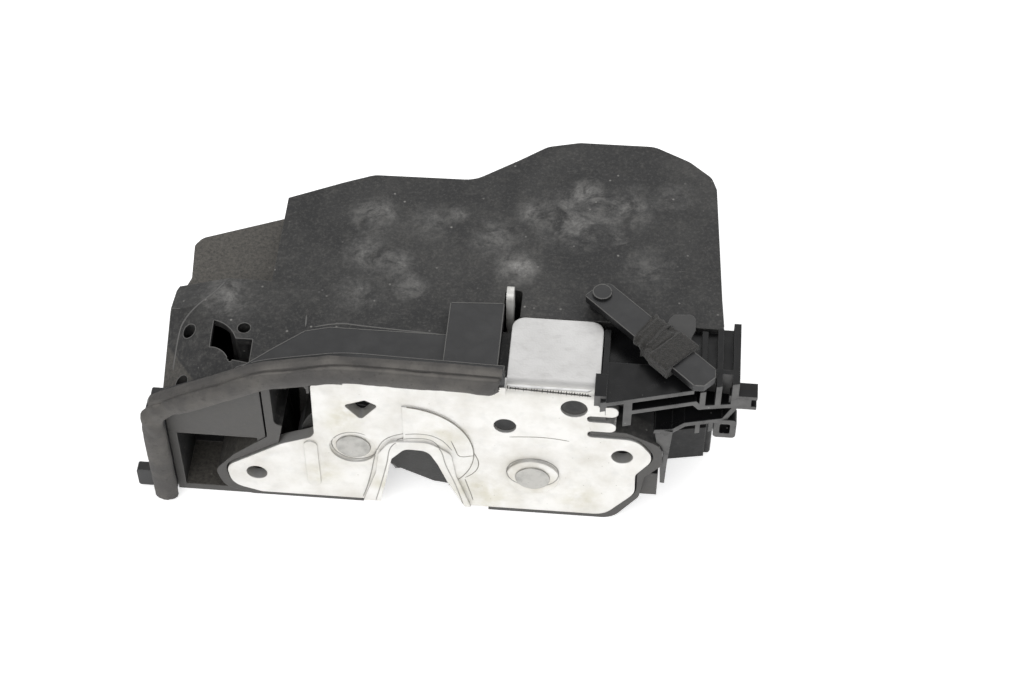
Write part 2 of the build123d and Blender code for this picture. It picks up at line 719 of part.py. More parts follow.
def deck_room(drop):
    """What lies under the deck's surface, or under a surface that much lower."""
    top = deck_z - drop
    start, end = (Vector(x, y, 0) for x, y in front_plan(CREASE_SHARES))
    along = (end - start).normalized()
    down = math.tan(math.radians(slope_degrees))
    profile = [
        (-3 * overrun, -overrun), (-3 * overrun, top), (0, top),
        (overrun, top - overrun * down), (overrun, -overrun),
    ]
    plane = Plane(origin=start - along * 2 * overrun, x_dir=along.cross(Vector(0, 0, -1)), z_dir=along)
    outline = rounded(profile, [0, 0, slope_radius, 0, 0])
    if plane.y_dir.Z < 0:
        outline = outline.mirror(Plane.XZ)
    roof = extrude(plane * outline, amount=4 * overrun, dir=along)
    first, last = (Vector(x, y, top) for x, y in front_plan(RIDGE_SHARES))
    ridge = (last - first).normalized()
    side = ridge.cross(Vector(0, 0, 1))
    lean = math.radians(facet_degrees)
    normal = Vector(0, 0, 1) * math.cos(lean) - side * math.sin(lean)
    corner = front_plan(FACET_CORNER_SHARES)[0]
    corner_block = block(-2 * overrun, corner[0], -overrun, corner[1], -overrun, 2 * overrun)
    return roof - (half_space(first, normal) & corner_block)


def carrier_space():
    """Room that both shells leave for the carrier, the plate and the ends of the door bolts."""
    room = slab_y(offset(carrier_outline(), running_gap), -overrun, carrier_back + running_gap)
    for x, z in bolt_places():
        room = room + rod_y(x, z, bolt_clearance_radius, -overrun, carrier_back + bolt_end_room)
    return room


def window_outline():
    """Crescent window of the lid, with the slot that joins it."""
    arc = Pos(*front_plan([WINDOW_ARC_SHARES])[0]) * Circle(window_arc_radius)
    disc = Pos(*front_plan([WINDOW_DISC_SHARES])[0]) * Circle(window_disc_radius)
    crescent = (arc - disc) & rounded(front_plan(WINDOW_CUT_SHARES))
    return crescent + rounded(front_plan(WINDOW_SLOT_SHARES))


def housing_cover():
    """Upper casing shell with the stepped-down corner, screw holes and crescent window."""
    low_deck = rounded(plan(LOW_DECK_SHARES))
    outer = slab_z(case_outline(), split_z, deck_z) & deck_room(0)
    outer = outer - slab_z(low_deck, low_deck_z, overrun)
    inner = slab_z(offset(case_outline(), -wall), split_z - wall, deck_z - wall) & deck_room(wall)
    inner = inner - slab_z(low_deck, low_deck_z - wall, overrun)
    body = outer - inner + slab_z(rounded(plan(APRON_SHARES)), deck_z - wall, deck_z)
    for x, y in front_plan(SCREW_SHARES):
        body = body + (rod_z(x, y, screw_boss_radius, split_z, deck_z) & outer)
    body = body - slab_z(window_outline(), split_z, overrun) - carrier_space()
    for x, y in front_plan(SCREW_SHARES):
        body = body - rod_z(x, y, screw_radius, split_z - wall, overrun)
    return body


def cradle(x):
    """Rib of the tray with a round seat for the motor."""
    low, high = motor_y - motor_radius, motor_y + motor_radius
    rib = block(x, x + wall, low, high, floor_z + wall, motor_z)
    return rib - rod_x(motor_y, motor_z, motor_radius + running_gap, -overrun, overrun)


def boss(x, y, radius, top):
    """Round post on the tray's floor."""
    return rod_z(x, y, radius, floor_z + wall, top)


def shaft_support():
    """Rib of the tray that carries the free end of the motor's shaft."""
    x = worm_end + seat_gap
    half = shaft_support_reach
    rib = block(x, x + wall, motor_y - half, motor_y + half, floor_z + wall, motor_z + half)
    return rib - rod_x(motor_y, motor_z, shaft_radius + running_gap, -overrun, overrun)


def housing_base():
    """Lower casing tray: open pocket, motor cradles, axle bosses and connector opening."""
    outer = slab_z(case_outline(), floor_z, split_z)
    inner = slab_z(offset(case_outline(), -wall), floor_z + wall, split_z + wall)
    body = outer - inner
    left, right = scaled(CASE_LEFT_SHARES)
    pocket = POCKET_BOX_SHARE * carrier_back
    body = body + block(left, right, pocket, pocket + wall, floor_z, split_z)
    body = body - block(left + wall, right - wall, -overrun, pocket, floor_z + wall, split_z + wall)
    body = body + slab_z(rounded(front_plan(FOOT_SHARES)), floor_z, FOOT_TOP_SHARE * plate_width)
    for x in motor_x_low + wall, motor_x_high - 3 * wall:
        body = body + cradle(x)
    body = body + boss(*wheel_place, hub_radius, wheel_low - running_gap) + shaft_support()
    body = body + boss(*lever_place, hub_radius, lever_low - running_gap)
    for x, y in (wheel_place, lever_place):
        body = body - rod_z(x, y, axle_radius, floor_z + wall, overrun)
    high = socket_y_low + socket_width
    socket = block(socket_x_low, 2 * overrun, socket_y_low, high, floor_z + wall, socket_top_z)
    return body - socket - carrier_space() - release_pin()


def cover_screws():
    """Shanks of the two rear screws of the lid, sunk in its bosses."""
    return group_of([
        rod_z(x, y, screw_radius, split_z + wall, low_deck_z - screw_sink / 2)
        for x, y in front_plan(SCREW_SHARES[:2])
    ])


# Seal and its carrier

BEAD_SHARES = [(-0.653, -0.172), (-0.653, 0.155), (-0.385, 0.305), (-0.20, 0.352), (0.158, 0.340)]
BEAD_CORNER_SHARES = [0.05, 0.25, 0.3]
FLAP_SHARES = [(-0.44, 0.0174), (-0.366, 0.39), (-0.305, 0.675), (-0.25, 0.76), (0.02, 0.76), (0.02, 0.0174)]
BLOCK_SHARES = [(0.018, 0.0174), (0.018, 1.20), (0.141, 1.24), (0.141, 0.0174)]
LIP_SHARES = (-0.30, 0.160)
PEG_SHARES = (-0.726, -0.653, -0.168, -0.108)
HOOK_SHARES = (-0.655, -0.615, 0.160, 0.190)
flap_rise = 0.2


def bead_line():
    """Centre line of the rubber bead as a flat front-view line."""
    return FilletPolyline(*front(BEAD_SHARES), radius=scaled(BEAD_CORNER_SHARES))


def face_seal():
    """Foam-rubber bead round the top and left of the plate."""
    plane = Plane(origin=(0, seal_centre_depth, 0), x_dir=(1, 0, 0), z_dir=(0, -1, 0))
    path = plane * bead_line()
    section = Plane(origin=path @ 0, x_dir=(0, 1, 0), z_dir=path % 0)
    return sweep(section * Ellipse(seal_thickness / 2, seal_width / 2), path)


def seal_carrier():
    """Moulded strip that holds the bead, with its flap, raised block and side pegs."""
    seal_back = seal_centre_depth + seal_thickness / 2
    strip_back = seal_back + channel_depth
    strip = slab_y(trace(bead_line(), line_width=channel_width), seal_back, strip_back)
    low = deck_z - wall + running_gap
    flap = slab_z(rounded(front_plan(FLAP_SHARES)), low, plate_top_z + flap_rise)
    raised = slab_z(rounded(front_plan(BLOCK_SHARES)), low, plate_top_z + block_height)
    left, right = scaled(LIP_SHARES)
    lip = block(left, right, seal_back, strip_back, low, plate_top_z + seal_width / 2)
    body = strip + flap + raised + lip
    for shares in (PEG_SHARES, HOOK_SHARES):
        x_low, x_high, z_low, z_high = scaled(shares)
        peg = block(x_low, x_high, seal_back, strip_back + play, z_low, z_high)
        body = body + fillet(peg.edges().filter_by(Axis.Y), channel_depth / 3)
    case = slab_z(offset(case_outline(), running_gap), -overrun, deck_z + running_gap)
    case = case & deck_room(-running_gap)
    plate = slab_y(offset(plate_outline(), 2 * running_gap), -overrun, plate_thickness + running_gap)
    apron = slab_z(rounded(plan(APRON_SHARES)), -overrun, deck_z)
    return body - case - plate - slab_y(carrier_outline(), -overrun, carrier_back) - apron


# Bracket with ribs at the right

BRACKET_SIDE_SHARES = (0.375, 0.683)
BRACKET_LINE_SHARES = [
    [(0.375, 0.3035), (0.582, 0.3035)],
    [(0.445, 0.262), (0.585, 0.262), (0.598, 0.243), (0.680, 0.231)],
    [(0.499, 0.177), (0.541, 0.169), (0.568, 0.187), (0.655, 0.183), (0.6765, 0.222), (0.6765, 0.240)],
]
BRACKET_RIB_SHARES = [(0.427, 0.215), (0.446, 0.310)]
BRACKET_LOW_SHARE = 0.16
BRACKET_SIDE_BACK_SHARE = 1.0
SMALL_RIB_SHARES = (0.592, 0.622)
SMALL_RIB_LOW_SHARE = 0.148
# Each wall runs from x to x, as shares of the plate's width, and back to a share of the carrier's depth
BRACKET_WALL_SHARES = [(0.596, 0.609, 1.14, -0.012), (0.631, 0.644, 1.14, 0), (0.667, 0.683, 1.24, 0)]
BLADE_SHARES = [
    (0.4996, 0.180), (0.542, 0.172), (0.535, 0.05), (0.533, -0.028), (0.5225, -0.027), (0.519, 0.045),
]
LOOP_SHARES = [(0.634, 0.12), (0.634, 0.185), (0.686, 0.185), (0.686, 0.12)]
HOLLOW_SHARES = [(0.648, 0.135), (0.648, 0.170), (0.672, 0.170), (0.672, 0.135)]
PEG_RIGHT_SHARES = (0.683, 0.726, 0.218)
blade_front = 1.2
loop_front = 4.6
loop_back = 8.2
loop_corner = 1.0
peg_front = 5.6
peg_depth = 3.9


def bracket_ribs(web_back):
    """Thin ribs open to the front, with the T-shaped strut between them."""
    body = None
    for line in BRACKET_LINE_SHARES:
        ribbon = slab_y(trace(Polyline(*front(line)), line_width=bracket_rib), -overrun, web_back)
        body = ribbon if body is None else body + ribbon
    low, high = front(BRACKET_RIB_SHARES)
    body = body + block(low[0], high[0], -overrun, web_back, low[1], high[1])
    for x in scaled(SMALL_RIB_SHARES):
        low = SMALL_RIB_LOW_SHARE * plate_width
        body = body + block(x, x + bracket_rib * 0.8, 0, web_back, low, low + 2.5 * bracket_rib)
    return body


def side_bracket():
    """Bracket with ribs open to the front, upright walls, pegs, blade and corner clip."""
    x_left, x_right = scaled(BRACKET_SIDE_SHARES)
    back = carrier_back * BRACKET_WALL_SHARES[-1][2]
    web_back = bracket_web + bracket_rib
    floor = plate_top_z - bracket_floor_drop
    body = block(x_left, x_right, bracket_web, back, floor - wall, floor)
    body = body + block(x_left, x_right, bracket_web, web_back, BRACKET_LOW_SHARE * plate_width, plate_top_z)
    body = body + bracket_ribs(web_back)
    side_back = BRACKET_SIDE_BACK_SHARE * carrier_back
    body = body + block(x_left, x_left + bracket_side_thickness, -overrun, side_back, floor - wall,
                        plate_top_z + seat_gap)
    for low, high, reach, rise in BRACKET_WALL_SHARES:
        top = plate_top_z + rise * plate_width
        body = body + block(low * plate_width, high * plate_width, -overrun, reach * carrier_back,
                            floor - 2.5 * wall, top)
    lean = Vector(bracket_lean_share, -1, 0)
    body = body - half_space(Vector(BRACKET_RIB_SHARES[0][0] * plate_width, -bracket_rib, 0), lean)
    body = body + slab_y(rounded(front(BLADE_SHARES)), blade_front, blade_front + blade_thickness)
    loop = rounded(front(LOOP_SHARES), loop_corner) - rounded(front(HOLLOW_SHARES), loop_corner / 2)
    body = body + slab_y(loop, loop_front, loop_back)
    peg_low, peg_high, peg_z = scaled(PEG_RIGHT_SHARES)
    peg = block(peg_low - wall, peg_high, peg_front, peg_front + peg_depth, peg_z, peg_z + peg_size)
    middle = peg_z + peg_size / 2
    body = body + peg - block(peg_high - bracket_rib, overrun * 2, -overrun, overrun,
                              middle - peg_hollow / 2, middle + peg_hollow / 2)
    clip_left = TAB_SIDE_SHARES[1] * plate_width - clip_thickness
    clip = block(clip_left, x_left + bracket_side_thickness, -clip_reach, clip_length,
                 floor, plate_top_z + clip_thickness)
    tab = block(0, x_left - running_gap, -running_gap, overrun, 0, plate_top_z + running_gap)
    body = body + (clip - tab)
    plate = slab_y(offset(plate_outline(), seat_gap), running_gap - seat_gap, plate_thickness + seat_gap)
    case = slab_z(offset(case_outline(), running_gap), -overrun, overrun)
    carrier = slab_y(offset(carrier_outline(), running_gap), -overrun, carrier_back + running_gap)
    return body - plate - case - carrier


# Levers on top

STRAP_PIN_SHARES = (0.362, 0.1347)
STRAP_END_SHARES = (0.604, 0.223)
FELT_SHARE = 0.66
strap_heel = 2.2
strap_toe = 1.4


def strap_ends():
    """Places of the strap's pin and of its free end."""
    return plan([STRAP_PIN_SHARES])[0], front_plan([STRAP_END_SHARES])[0]


def strap_frame():
    """Plane of the strap, with its origin on the pin and local x along it, and the strap's length."""
    pin, end = strap_ends()
    along = Vector(end[0] - pin[0], end[1] - pin[1], 0)
    return Plane(origin=(pin[0], pin[1], strap_z), x_dir=along, z_dir=(0, 0, 1)), along.length


def strap_lever():
    """Flat plastic lever with clipped corners and a pin bore."""
    frame, length = strap_frame()
    half = strap_width / 2
    toe = length + strap_toe
    shape = rounded([
        (-strap_heel, -half), (toe - strap_corner, -half), (toe, strap_corner - half),
        (toe, half - strap_corner), (toe - strap_corner, half), (strap_corner - strap_heel, half),
        (-strap_heel, half - strap_corner),
    ], strap_corner / 3)
    shape = shape - Circle(pin_radius + running_gap)
    return frame * extrude(shape, amount=strap_thickness)


def felt_sleeve():
    """Felt wound round the middle of the strap."""
    frame, length = strap_frame()
    middle = Pos(FELT_SHARE * length, 0, strap_thickness / 2)
    outer = middle * Box(felt_length, felt_width, strap_thickness + 2 * felt_thickness)
    outer = fillet(outer.edges().filter_by(Axis.X), felt_thickness * 0.8)
    return frame * (outer - middle * Box(2 * felt_length, strap_width, strap_thickness))


def strap_pin():
    """Shouldered pin that carries the strap on the lid."""
    x, y = strap_ends()[0]
    top = strap_z + strap_thickness
    body = rod_z(x, y, pin_shoulder_radius, deck_z, strap_z - running_gap)
    body = body + rod_z(x, y, pin_radius, deck_z, top + pin_flange)
    return body + rod_z(x, y, pin_flange_radius, top + running_gap, top + pin_flange)


def release_lever():
    """Steel bell-crank: its foot lifts the pawl's nose, its lug stands beside the tab."""
    pin = (release_pin_y, release_pin_z)
    lug_front = release_pin_y - release_lug_width / 4
    lug_back = lug_front + release_lug_width
    lug_top = plate_top_z + release_lug_height
    under = pawl_centre[1] - pawl_nose_drop - seat_gap
    foot = rounded([
        (claw_front + wall, under), (claw_back, under), (pin[0], pin[1] + pin_radius),
        (pin[0], pin[1] - release_hub_radius), (claw_front + wall, under - release_foot_height),
    ])
    upright = rounded([
        (lug_front, pin[1]), (lug_front, lug_top), (lug_back, lug_top), (lug_back, pin[1]),
    ], release_lug_width * 0.45)
    eye = (lug_front + release_lug_width / 2, lug_top - release_lug_width / 2)
    shape = foot + upright + Pos(*pin) * Circle(release_hub_radius)
    shape = shape - Pos(*pin) * Circle(pin_radius + running_gap) - Pos(*eye) * Circle(release_lug_width / 5)
    return slab_x(shape, release_x, release_x + lever_sheet)


def release_pin():
    """Pin of the release lever, across the alcove of the casing."""
    return rod_x(release_pin_y, release_pin_z, pin_radius, release_x - wall, release_x + lever_sheet + 1.5 * wall)


# Drive inside the casing

def lock_motor():
    """Flat-sided motor can with its rear boss and a bearing for the shaft."""
    can = Pos(motor_y, motor_z) * Circle(motor_radius)
    can = can & (Pos(motor_y, motor_z) * Rectangle(4 * motor_radius, 2 * motor_flat))
    body = slab_x(can, motor_x_low, motor_x_high)
    body = body + rod_x(motor_y, motor_z, 3 * shaft_radius, motor_x_low - wall, motor_x_high + wall / 2)
    return body - rod_x(motor_y, motor_z, shaft_radius + running_gap, motor_x_high - 2 * wall, overrun)


def motor_worm():
    """Single-start worm moulded on the motor's shaft."""
    path = Helix(worm_pitch, worm_end - worm_start - worm_pitch, worm_root_radius)
    half_root, half_tip = worm_pitch * WORM_FLANK_SHARES[0], worm_pitch * WORM_FLANK_SHARES[1]
    height = worm_radius - worm_root_radius
    sink = worm_root_radius / 8
    tooth = rounded([(-sink, -half_root), (height, -half_tip), (height, half_tip), (-sink, half_root)])
    section = Plane(origin=path @ 0, x_dir=(1, 0, 0), z_dir=path % 0) * tooth
    thread = sweep(section, path, is_frenet=True)
    thread = Pos(worm_start + worm_pitch / 2, motor_y, motor_z) * Rot(0, 90, 0) * thread
    core = rod_x(motor_y, motor_z, worm_root_radius, worm_start, worm_end)
    shaft = rod_x(motor_y, motor_z, shaft_radius, motor_x_high - wall, worm_end + seat_gap + wall)
    return thread + core + shaft


def gear_face(teeth, first, last, turn):
    """Gear outline with straight-flanked teeth, numbered from first to last."""
    pitch_radius = gear_module * teeth / 2
    root = pitch_radius - TOOTH_HEIGHT_SHARES[0] * gear_module
    tip = pitch_radius + TOOTH_HEIGHT_SHARES[1] * gear_module
    step = 360 / teeth
    corners = (
        (root, -TOOTH_WIDTH_SHARES[0]), (tip, -TOOTH_WIDTH_SHARES[1]),
        (tip, TOOTH_WIDTH_SHARES[1]), (root, TOOTH_WIDTH_SHARES[0]),
    )
    points = []
    for tooth in range(first, last):
        middle = tooth * step + turn
        points += [polar((0, 0), radius, middle + share * step) for radius, share in corners]
    if last - first < teeth:
        points.append((0, 0))
    return rounded(points)


def worm_wheel():
    """Toothed wheel with a smaller pinion on top."""
    facing_worm = 180 / wheel_teeth - 90
    body = slab_z(gear_face(wheel_teeth, 0, wheel_teeth, facing_worm), wheel_low, pinion_low)
    pinion = gear_face(pinion_teeth, 0, pinion_teeth, 180 / pinion_teeth)
    body = body + slab_z(pinion, pinion_low, pinion_low + pinion_height)
    body = Pos(*wheel_place, 0) * body
    return body - rod_z(*wheel_place, axle_radius + running_gap, -overrun, overrun)


def wheel_axle():
    """Fixed axle of the wheel."""
    return rod_z(*wheel_place, axle_radius, floor_z + wall, pinion_low + pinion_height + wall / 2)


def lock_lever():
    """Toothed sector with an arm that ends in an eye."""
    sector = gear_face(sector_teeth, -4, 5, 180)
    end = polar((0, 0), lock_arm_length, lock_arm_degrees)
    arm = make_hull((Circle(hub_radius) + Pos(*end) * Circle(axle_radius + wall)).edges())
    shape = sector + Circle(hub_radius + wall / 2) + arm
    shape = shape - Circle(axle_radius + running_gap) - Pos(*end) * Circle(axle_radius)
    return Pos(*lever_place, 0) * slab_z(shape, lever_low, lever_low + lever_thickness)


def lock_lever_axle():
    """Fixed axle of the lock lever."""
    return rod_z(*lever_place, axle_radius, floor_z + wall, lever_low + lever_thickness + wall / 2)


def microswitches():
    """Two switches on the tray's floor, each with its button."""
    group = []
    for x, y in plan(SWITCH_SHARES):
        low = floor_z + wall
        top = low + switch_height
        body = block(x, x + switch_length, y, y + switch_depth, low, top)
        body = fillet(body.edges().filter_by(Axis.Z), switch_corner)
        middle = (x + switch_length / 3, y + switch_depth / 2)
        group.append(body + rod_z(*middle, switch_button / 2, top, top + switch_button))
    return group_of(group)


def terminal_carrier():
    """Moulded board above the gears, standing on four legs."""
    board = rounded(plan(TERMINAL_SHARES), wall)
    body = slab_z(board, terminal_z, terminal_z + wall)
    rim = offset(board, -wall) - offset(board, -1.5 * wall)
    body = body + slab_z(rim, terminal_z, terminal_z + 1.5 * wall)
    for x, y in plan(TERMINAL_LEG_SHARES):
        body = body + rod_z(x, y, axle_radius, floor_z + wall, terminal_z)
    return body


def connector_pins():
    """Rows of blade terminals."""
    pins = []
    x_low = socket_x_low + wall / 2
    for row in range(pin_rows):
        z = floor_z + 3 * wall + row * pin_row_spacing
        for column in range(pin_columns):
            y = socket_y_low + 2 * wall + column * pin_spacing
            pins.append(block(x_low, x_low + pin_length, y, y + pin_width, z, z + pin_thickness))
    return group_of(pins)


def connector_socket():
    """Shrouded socket in the casing's right wall."""
    low, high = floor_z + wall + running_gap, socket_top_z - running_gap
    y_low, y_high = socket_y_low + running_gap, socket_y_low + socket_width - running_gap
    outer = block(socket_x_low + wall, socket_x_high, y_low, y_high, low, high)
    inner = block(socket_x_low + 2 * wall, 2 * overrun, y_low + wall, y_high - wall, low + wall, high - wall)
    return outer - inner - connector_pins()


def build():
    """Make and write every sub-part."""
    os.makedirs("parts", exist_ok=True)
    pieces = {
        "face_plate": face_plate(),
        "back_plate": back_plate(),
        "claw": claw(),
        "claw_jacket": claw_jacket(),
        "pawl": pawl(),
        "claw_pivot": stepped_pivot(claw_centre, claw_ring_depth / 2),
        "pawl_pivot": stepped_pivot(pawl_centre, -collar_height - rivet_proud),
        "striker_buffer": striker_buffer(),
        "claw_spring": torsion_spring(claw_centre, CLAW_SPRING_DEGREES),
        "pawl_spring": torsion_spring(pawl_centre, PAWL_SPRING_DEGREES),
        "latch_carrier": latch_carrier(),
        "housing_cover": housing_cover(),
        "housing_base": housing_base(),
        "cover_screws": cover_screws(),
        "face_seal": face_seal(),
        "seal_carrier": seal_carrier(),
        "side_bracket": side_bracket(),
        "strap_lever": strap_lever(),
        "felt_sleeve": felt_sleeve(),
        "strap_pin": strap_pin(),
        "release_lever": release_lever(),
        "release_pin": release_pin(),
        "lock_motor": lock_motor(),
        "motor_worm": motor_worm(),
        "worm_wheel": worm_wheel(),
        "wheel_axle": wheel_axle(),
        "lock_lever": lock_lever(),
        "lock_lever_axle": lock_lever_axle(),
        "microswitches": microswitches(),
        "terminal_carrier": terminal_carrier(),
        "connector_socket": connector_socket(),
        "connector_pins": connector_pins(),
    }
    for node, shape in pieces.items():
        export_step(shape, f"parts/{node}.step")


build()
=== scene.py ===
"""Looks of a vehicle door latch with its lock actuator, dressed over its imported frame."""

import json
import math

import bmesh
import bpy
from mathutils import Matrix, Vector, noise
from mathutils.bvhtree import BVHTree


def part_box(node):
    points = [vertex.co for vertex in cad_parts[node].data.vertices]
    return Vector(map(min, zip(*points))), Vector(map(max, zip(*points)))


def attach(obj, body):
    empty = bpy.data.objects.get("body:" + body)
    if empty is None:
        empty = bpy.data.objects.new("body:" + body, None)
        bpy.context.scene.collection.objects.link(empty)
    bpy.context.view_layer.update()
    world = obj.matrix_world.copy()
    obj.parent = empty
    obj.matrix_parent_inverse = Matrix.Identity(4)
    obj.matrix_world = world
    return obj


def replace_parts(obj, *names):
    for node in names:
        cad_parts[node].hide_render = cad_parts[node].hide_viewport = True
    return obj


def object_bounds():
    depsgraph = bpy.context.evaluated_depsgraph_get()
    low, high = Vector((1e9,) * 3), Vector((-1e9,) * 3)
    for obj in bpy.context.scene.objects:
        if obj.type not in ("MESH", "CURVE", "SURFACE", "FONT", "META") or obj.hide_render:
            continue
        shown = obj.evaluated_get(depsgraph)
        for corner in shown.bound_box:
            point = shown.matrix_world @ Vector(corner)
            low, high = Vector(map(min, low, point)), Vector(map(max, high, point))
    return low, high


bl_info = {
    "name": "Door latch actuator",
    "version": (1, 0, 0),
    "blender": (4, 5, 0),
    "location": "View3D > Sidebar > Latch",
    "description": "Finishes and small pieces of a vehicle door latch with its lock actuator",
    "category": "Object",
}

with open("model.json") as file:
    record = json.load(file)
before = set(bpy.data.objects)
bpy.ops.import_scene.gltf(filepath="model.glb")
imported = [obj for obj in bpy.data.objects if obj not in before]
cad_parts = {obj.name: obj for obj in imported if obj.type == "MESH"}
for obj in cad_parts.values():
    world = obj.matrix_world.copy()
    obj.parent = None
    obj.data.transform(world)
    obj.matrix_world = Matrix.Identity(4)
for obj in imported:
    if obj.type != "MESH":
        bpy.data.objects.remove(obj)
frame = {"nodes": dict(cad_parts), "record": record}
CAD_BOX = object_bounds()

MM = 0.001

# Directions that a face may look in
UP = (0, 0, 1)
FRONT = (0, -1, 0)
CROWN = (0, -0.4, 0.9)

# Colour sockets of a mix node, and the values that most of a cloudy pattern lies between
MIX_UNDER, MIX_OVER, MIX_RESULT = 6, 7, 2
CLOUD_SPAN = (0.3, 0.7)

# Shades that the finishes mix over their base colours
ZINC_CLOUD = (0.60, 0.578, 0.525)
ZINC_HAZE = (0.60, 0.60, 0.58)
# Painted shade laid over the plate's upward faces
ZINC_TOP_SHADE = (0.60, 0.595, 0.59)
ZINC_RUBBED = (0.44, 0.43, 0.42)
ZINC_SIDE = (0.30, 0.29, 0.27)
ZINC_SPECK = (0.20, 0.19, 0.16)
RIVET_STAIN = (0.52, 0.485, 0.40)
PLATE_STAIN = (0.55, 0.52, 0.40)
CASING_SMUDGE = (0.36, 0.353, 0.34)
CASING_SPECK = (0.36, 0.35, 0.33)
CASING_PIT = (0.009, 0.009, 0.0095)
# Painted reflection: pale tone on the casing's front faces near the front
CASING_FRONT_REFLECTION = (0.08, 0.077, 0.073)
# Painted shadow round the open holes of the plate
CASING_HOLE_SHADOW = (0.006, 0.006, 0.0065)
# Painted shade inside the casing, behind the plate
CASING_INSIDE_SHADE = (0.007, 0.007, 0.0075)
CASING_LEFT = (0.125, 0.115, 0.10)
# Rubbed wear and painted highlight along the casing's edges
CASING_EDGE_WEAR_AND_HIGHLIGHT = (0.17, 0.166, 0.158)
# Painted reflection on the bracket's front faces
BRACKET_FRONT_REFLECTION = (0.15, 0.148, 0.145)
# Rubbed wear and painted highlight along the bracket's edges
BRACKET_EDGE_WEAR_AND_HIGHLIGHT = (0.14, 0.14, 0.14)
BRACKET_SPECK = (0.4, 0.4, 0.39)
SEAL_CLOUD = (0.15, 0.14, 0.125)
SEAL_PIT = (0.035, 0.032, 0.03)
SEAL_CROWN = (0.24, 0.225, 0.205)
FELT_FIBRE = (0.085, 0.078, 0.068)

# All places, lines and levels below are in millimetres.

# Stained places of the plate, each with its reach
PLATE_STAINS = (
    ((8.0, 0.0, -8.0), 7.0), ((13.0, 0.0, -12.0), 8.0), ((-12.5, 0.0, -8.0), 5.0), ((-20.0, 0.0, 19.0), 6.0),
    ((-22.0, 0.0, 14.0), 6.0), ((2.0, 0.0, 12.0), 7.0), ((-27.0, 0.0, -6.0), 6.0), ((34.0, 0.0, -10.0), 7.0),
)
# Pale smudges of the lid, each with its reach and strength
LID_SMUDGES = (
    ((31.0, 62.0, 30.0), 5.0, 0.8), ((28.0, 53.0, 30.0), 12.0, 0.75), ((41.0, 57.0, 30.0), 9.0, 0.6),
    ((18.0, 54.0, 30.0), 5.0, 0.6), ((16.0, 36.5, 30.0), 6.5, 0.9), ((10.0, 45.0, 30.0), 8.0, 0.55),
    ((0.6, 52.0, 30.0), 3.0, 0.7), ((-19.0, 50.0, 30.0), 7.0, 0.75), ((-19.5, 38.0, 30.0), 7.0, 0.65),
    ((-20.0, 26.0, 30.0), 7.0, 0.5), ((-8.0, 28.0, 30.0), 5.0, 0.7), ((-12.0, 35.0, 30.0), 6.0, 0.6),
    ((52.0, 62.0, 30.0), 6.0, 0.4), ((-50.0, 22.0, 29.0), 9.0, 0.6), ((38.5, 47.0, 30.0), 4.0, 0.5),
    ((-6.0, 49.0, 30.0), 7.0, 0.45), ((46.0, 38.0, 30.0), 9.0, 0.3),
)

# Scribed lines on the plate's face, as (x, z)
SCRIBED = (
    ((8.9, 5.6), (9.7, 3.2), (9.9, 1.2), (9.4, -1.0), (8.2, -2.9), (6.64, -4.39)),
    ((6.59, -4.89), (7.22, -7.72), (7.95, -10.99), (8.4, -13.48)),
    ((3.67, 10.22), (4.55, 7.14), (5.22, 4.81), (6.4, 4.31), (8.79, 5.06)),
    ((17.07, 12.84), (20.12, 13.18), (23.86, 13.45), (27.6, 13.25), (30.88, 12.68)),
)
# Lines of painted shade along the steps of the plate's raised rim, as (x, z)
RIM_LINES = (
    ((-18.03, -14.95), (-16.82, -10.57), (-15.54, -4.59), (-14.53, 1.25), (-13.1, 6.25), (-11.06, 9.26),
     (-7.66, 11.22), (-4.33, 11.99), (-1.04, 11.73), (1.74, 9.92), (3.8, 6.58)),
    ((-14.89, -15.13), (-13.15, -7.34), (-11.6, 0.25), (-10.63, 6.02), (-8.6, 9.04), (-4.77, 10.26),
     (-1.01, 9.9), (1.27, 6.58), (2.33, 1.06), (4.33, -6.11), (6.12, -14.3)),
)
# Rings of painted shade round the rivets: middle (x, z), radius, flatness and span in degrees
RIM_RINGS = (((-19.0, 5.0), 5.5, 1.0, (60, 330)), ((22.6, 0.0), 6.0, 0.82, (0, 360)))
# Half disc of the plate's relief: middle (x, z), least and greatest radius of its rim, x of its straight side
RELIEF_MIDDLE = Vector((-7.4, 5.6))
RELIEF_BAND = (15.8, 16.6)
RELIEF_LEFT = -7.0
RELIEF_FRONT = -0.3
# Middles of the two open holes in the plate, as (x, z)
PLATE_HOLES = ((16.0, 16.9), (31.6, 25.2))
# Painted highlight: bright band on the fold of the tab, as (x, y)
FOLD_SHINE = ((16.5, 1.5), (35.4, 1.45))
# Dark marks on the front of the fold: their first and last x, the first one's z, and the line under them
CRIMP_ENDS = (16.6, 35.4)
CRIMP_LEVEL = 30.2
CRIMP_LINE = ((16.6, 29.95), (35.4, 29.4))

# Pale ridges of the lid, as (x, y), in the rubbed-edge finish of wear with painted highlight
LID_MARKS = (
    ((-31.0, 18.1), (-30.8, 14.6)),
    ((-51.2, 26.6), (-53.6, 22.6), (-58.6, 16.6), (-60.1, 13.2), (-60.8, 6.0)),
    ((-28.8, 14.7), (-25.4, 15.7), (-21.9, 16.2), (-17.7, 15.9), (-9.2, 15.4), (0.3, 14.9)),
)
# Sliver of the lid: y of the step it stands on, the two ends of the facet under it, and the x it is left of
STEP_Y = 27.6015
FACET_LOW = Vector((-62.53, 27.6, 25.888))
FACET_HIGH = Vector((-50.487, 27.6, 30.0))
SLIVER_LEFT = -48.0
# Left deck of the lid: the level that its edges lie above, its back (y) and its right end (x)
DECK_LEVEL, DECK_BACK, DECK_RIGHT = 20.0, 27.0, -40.6
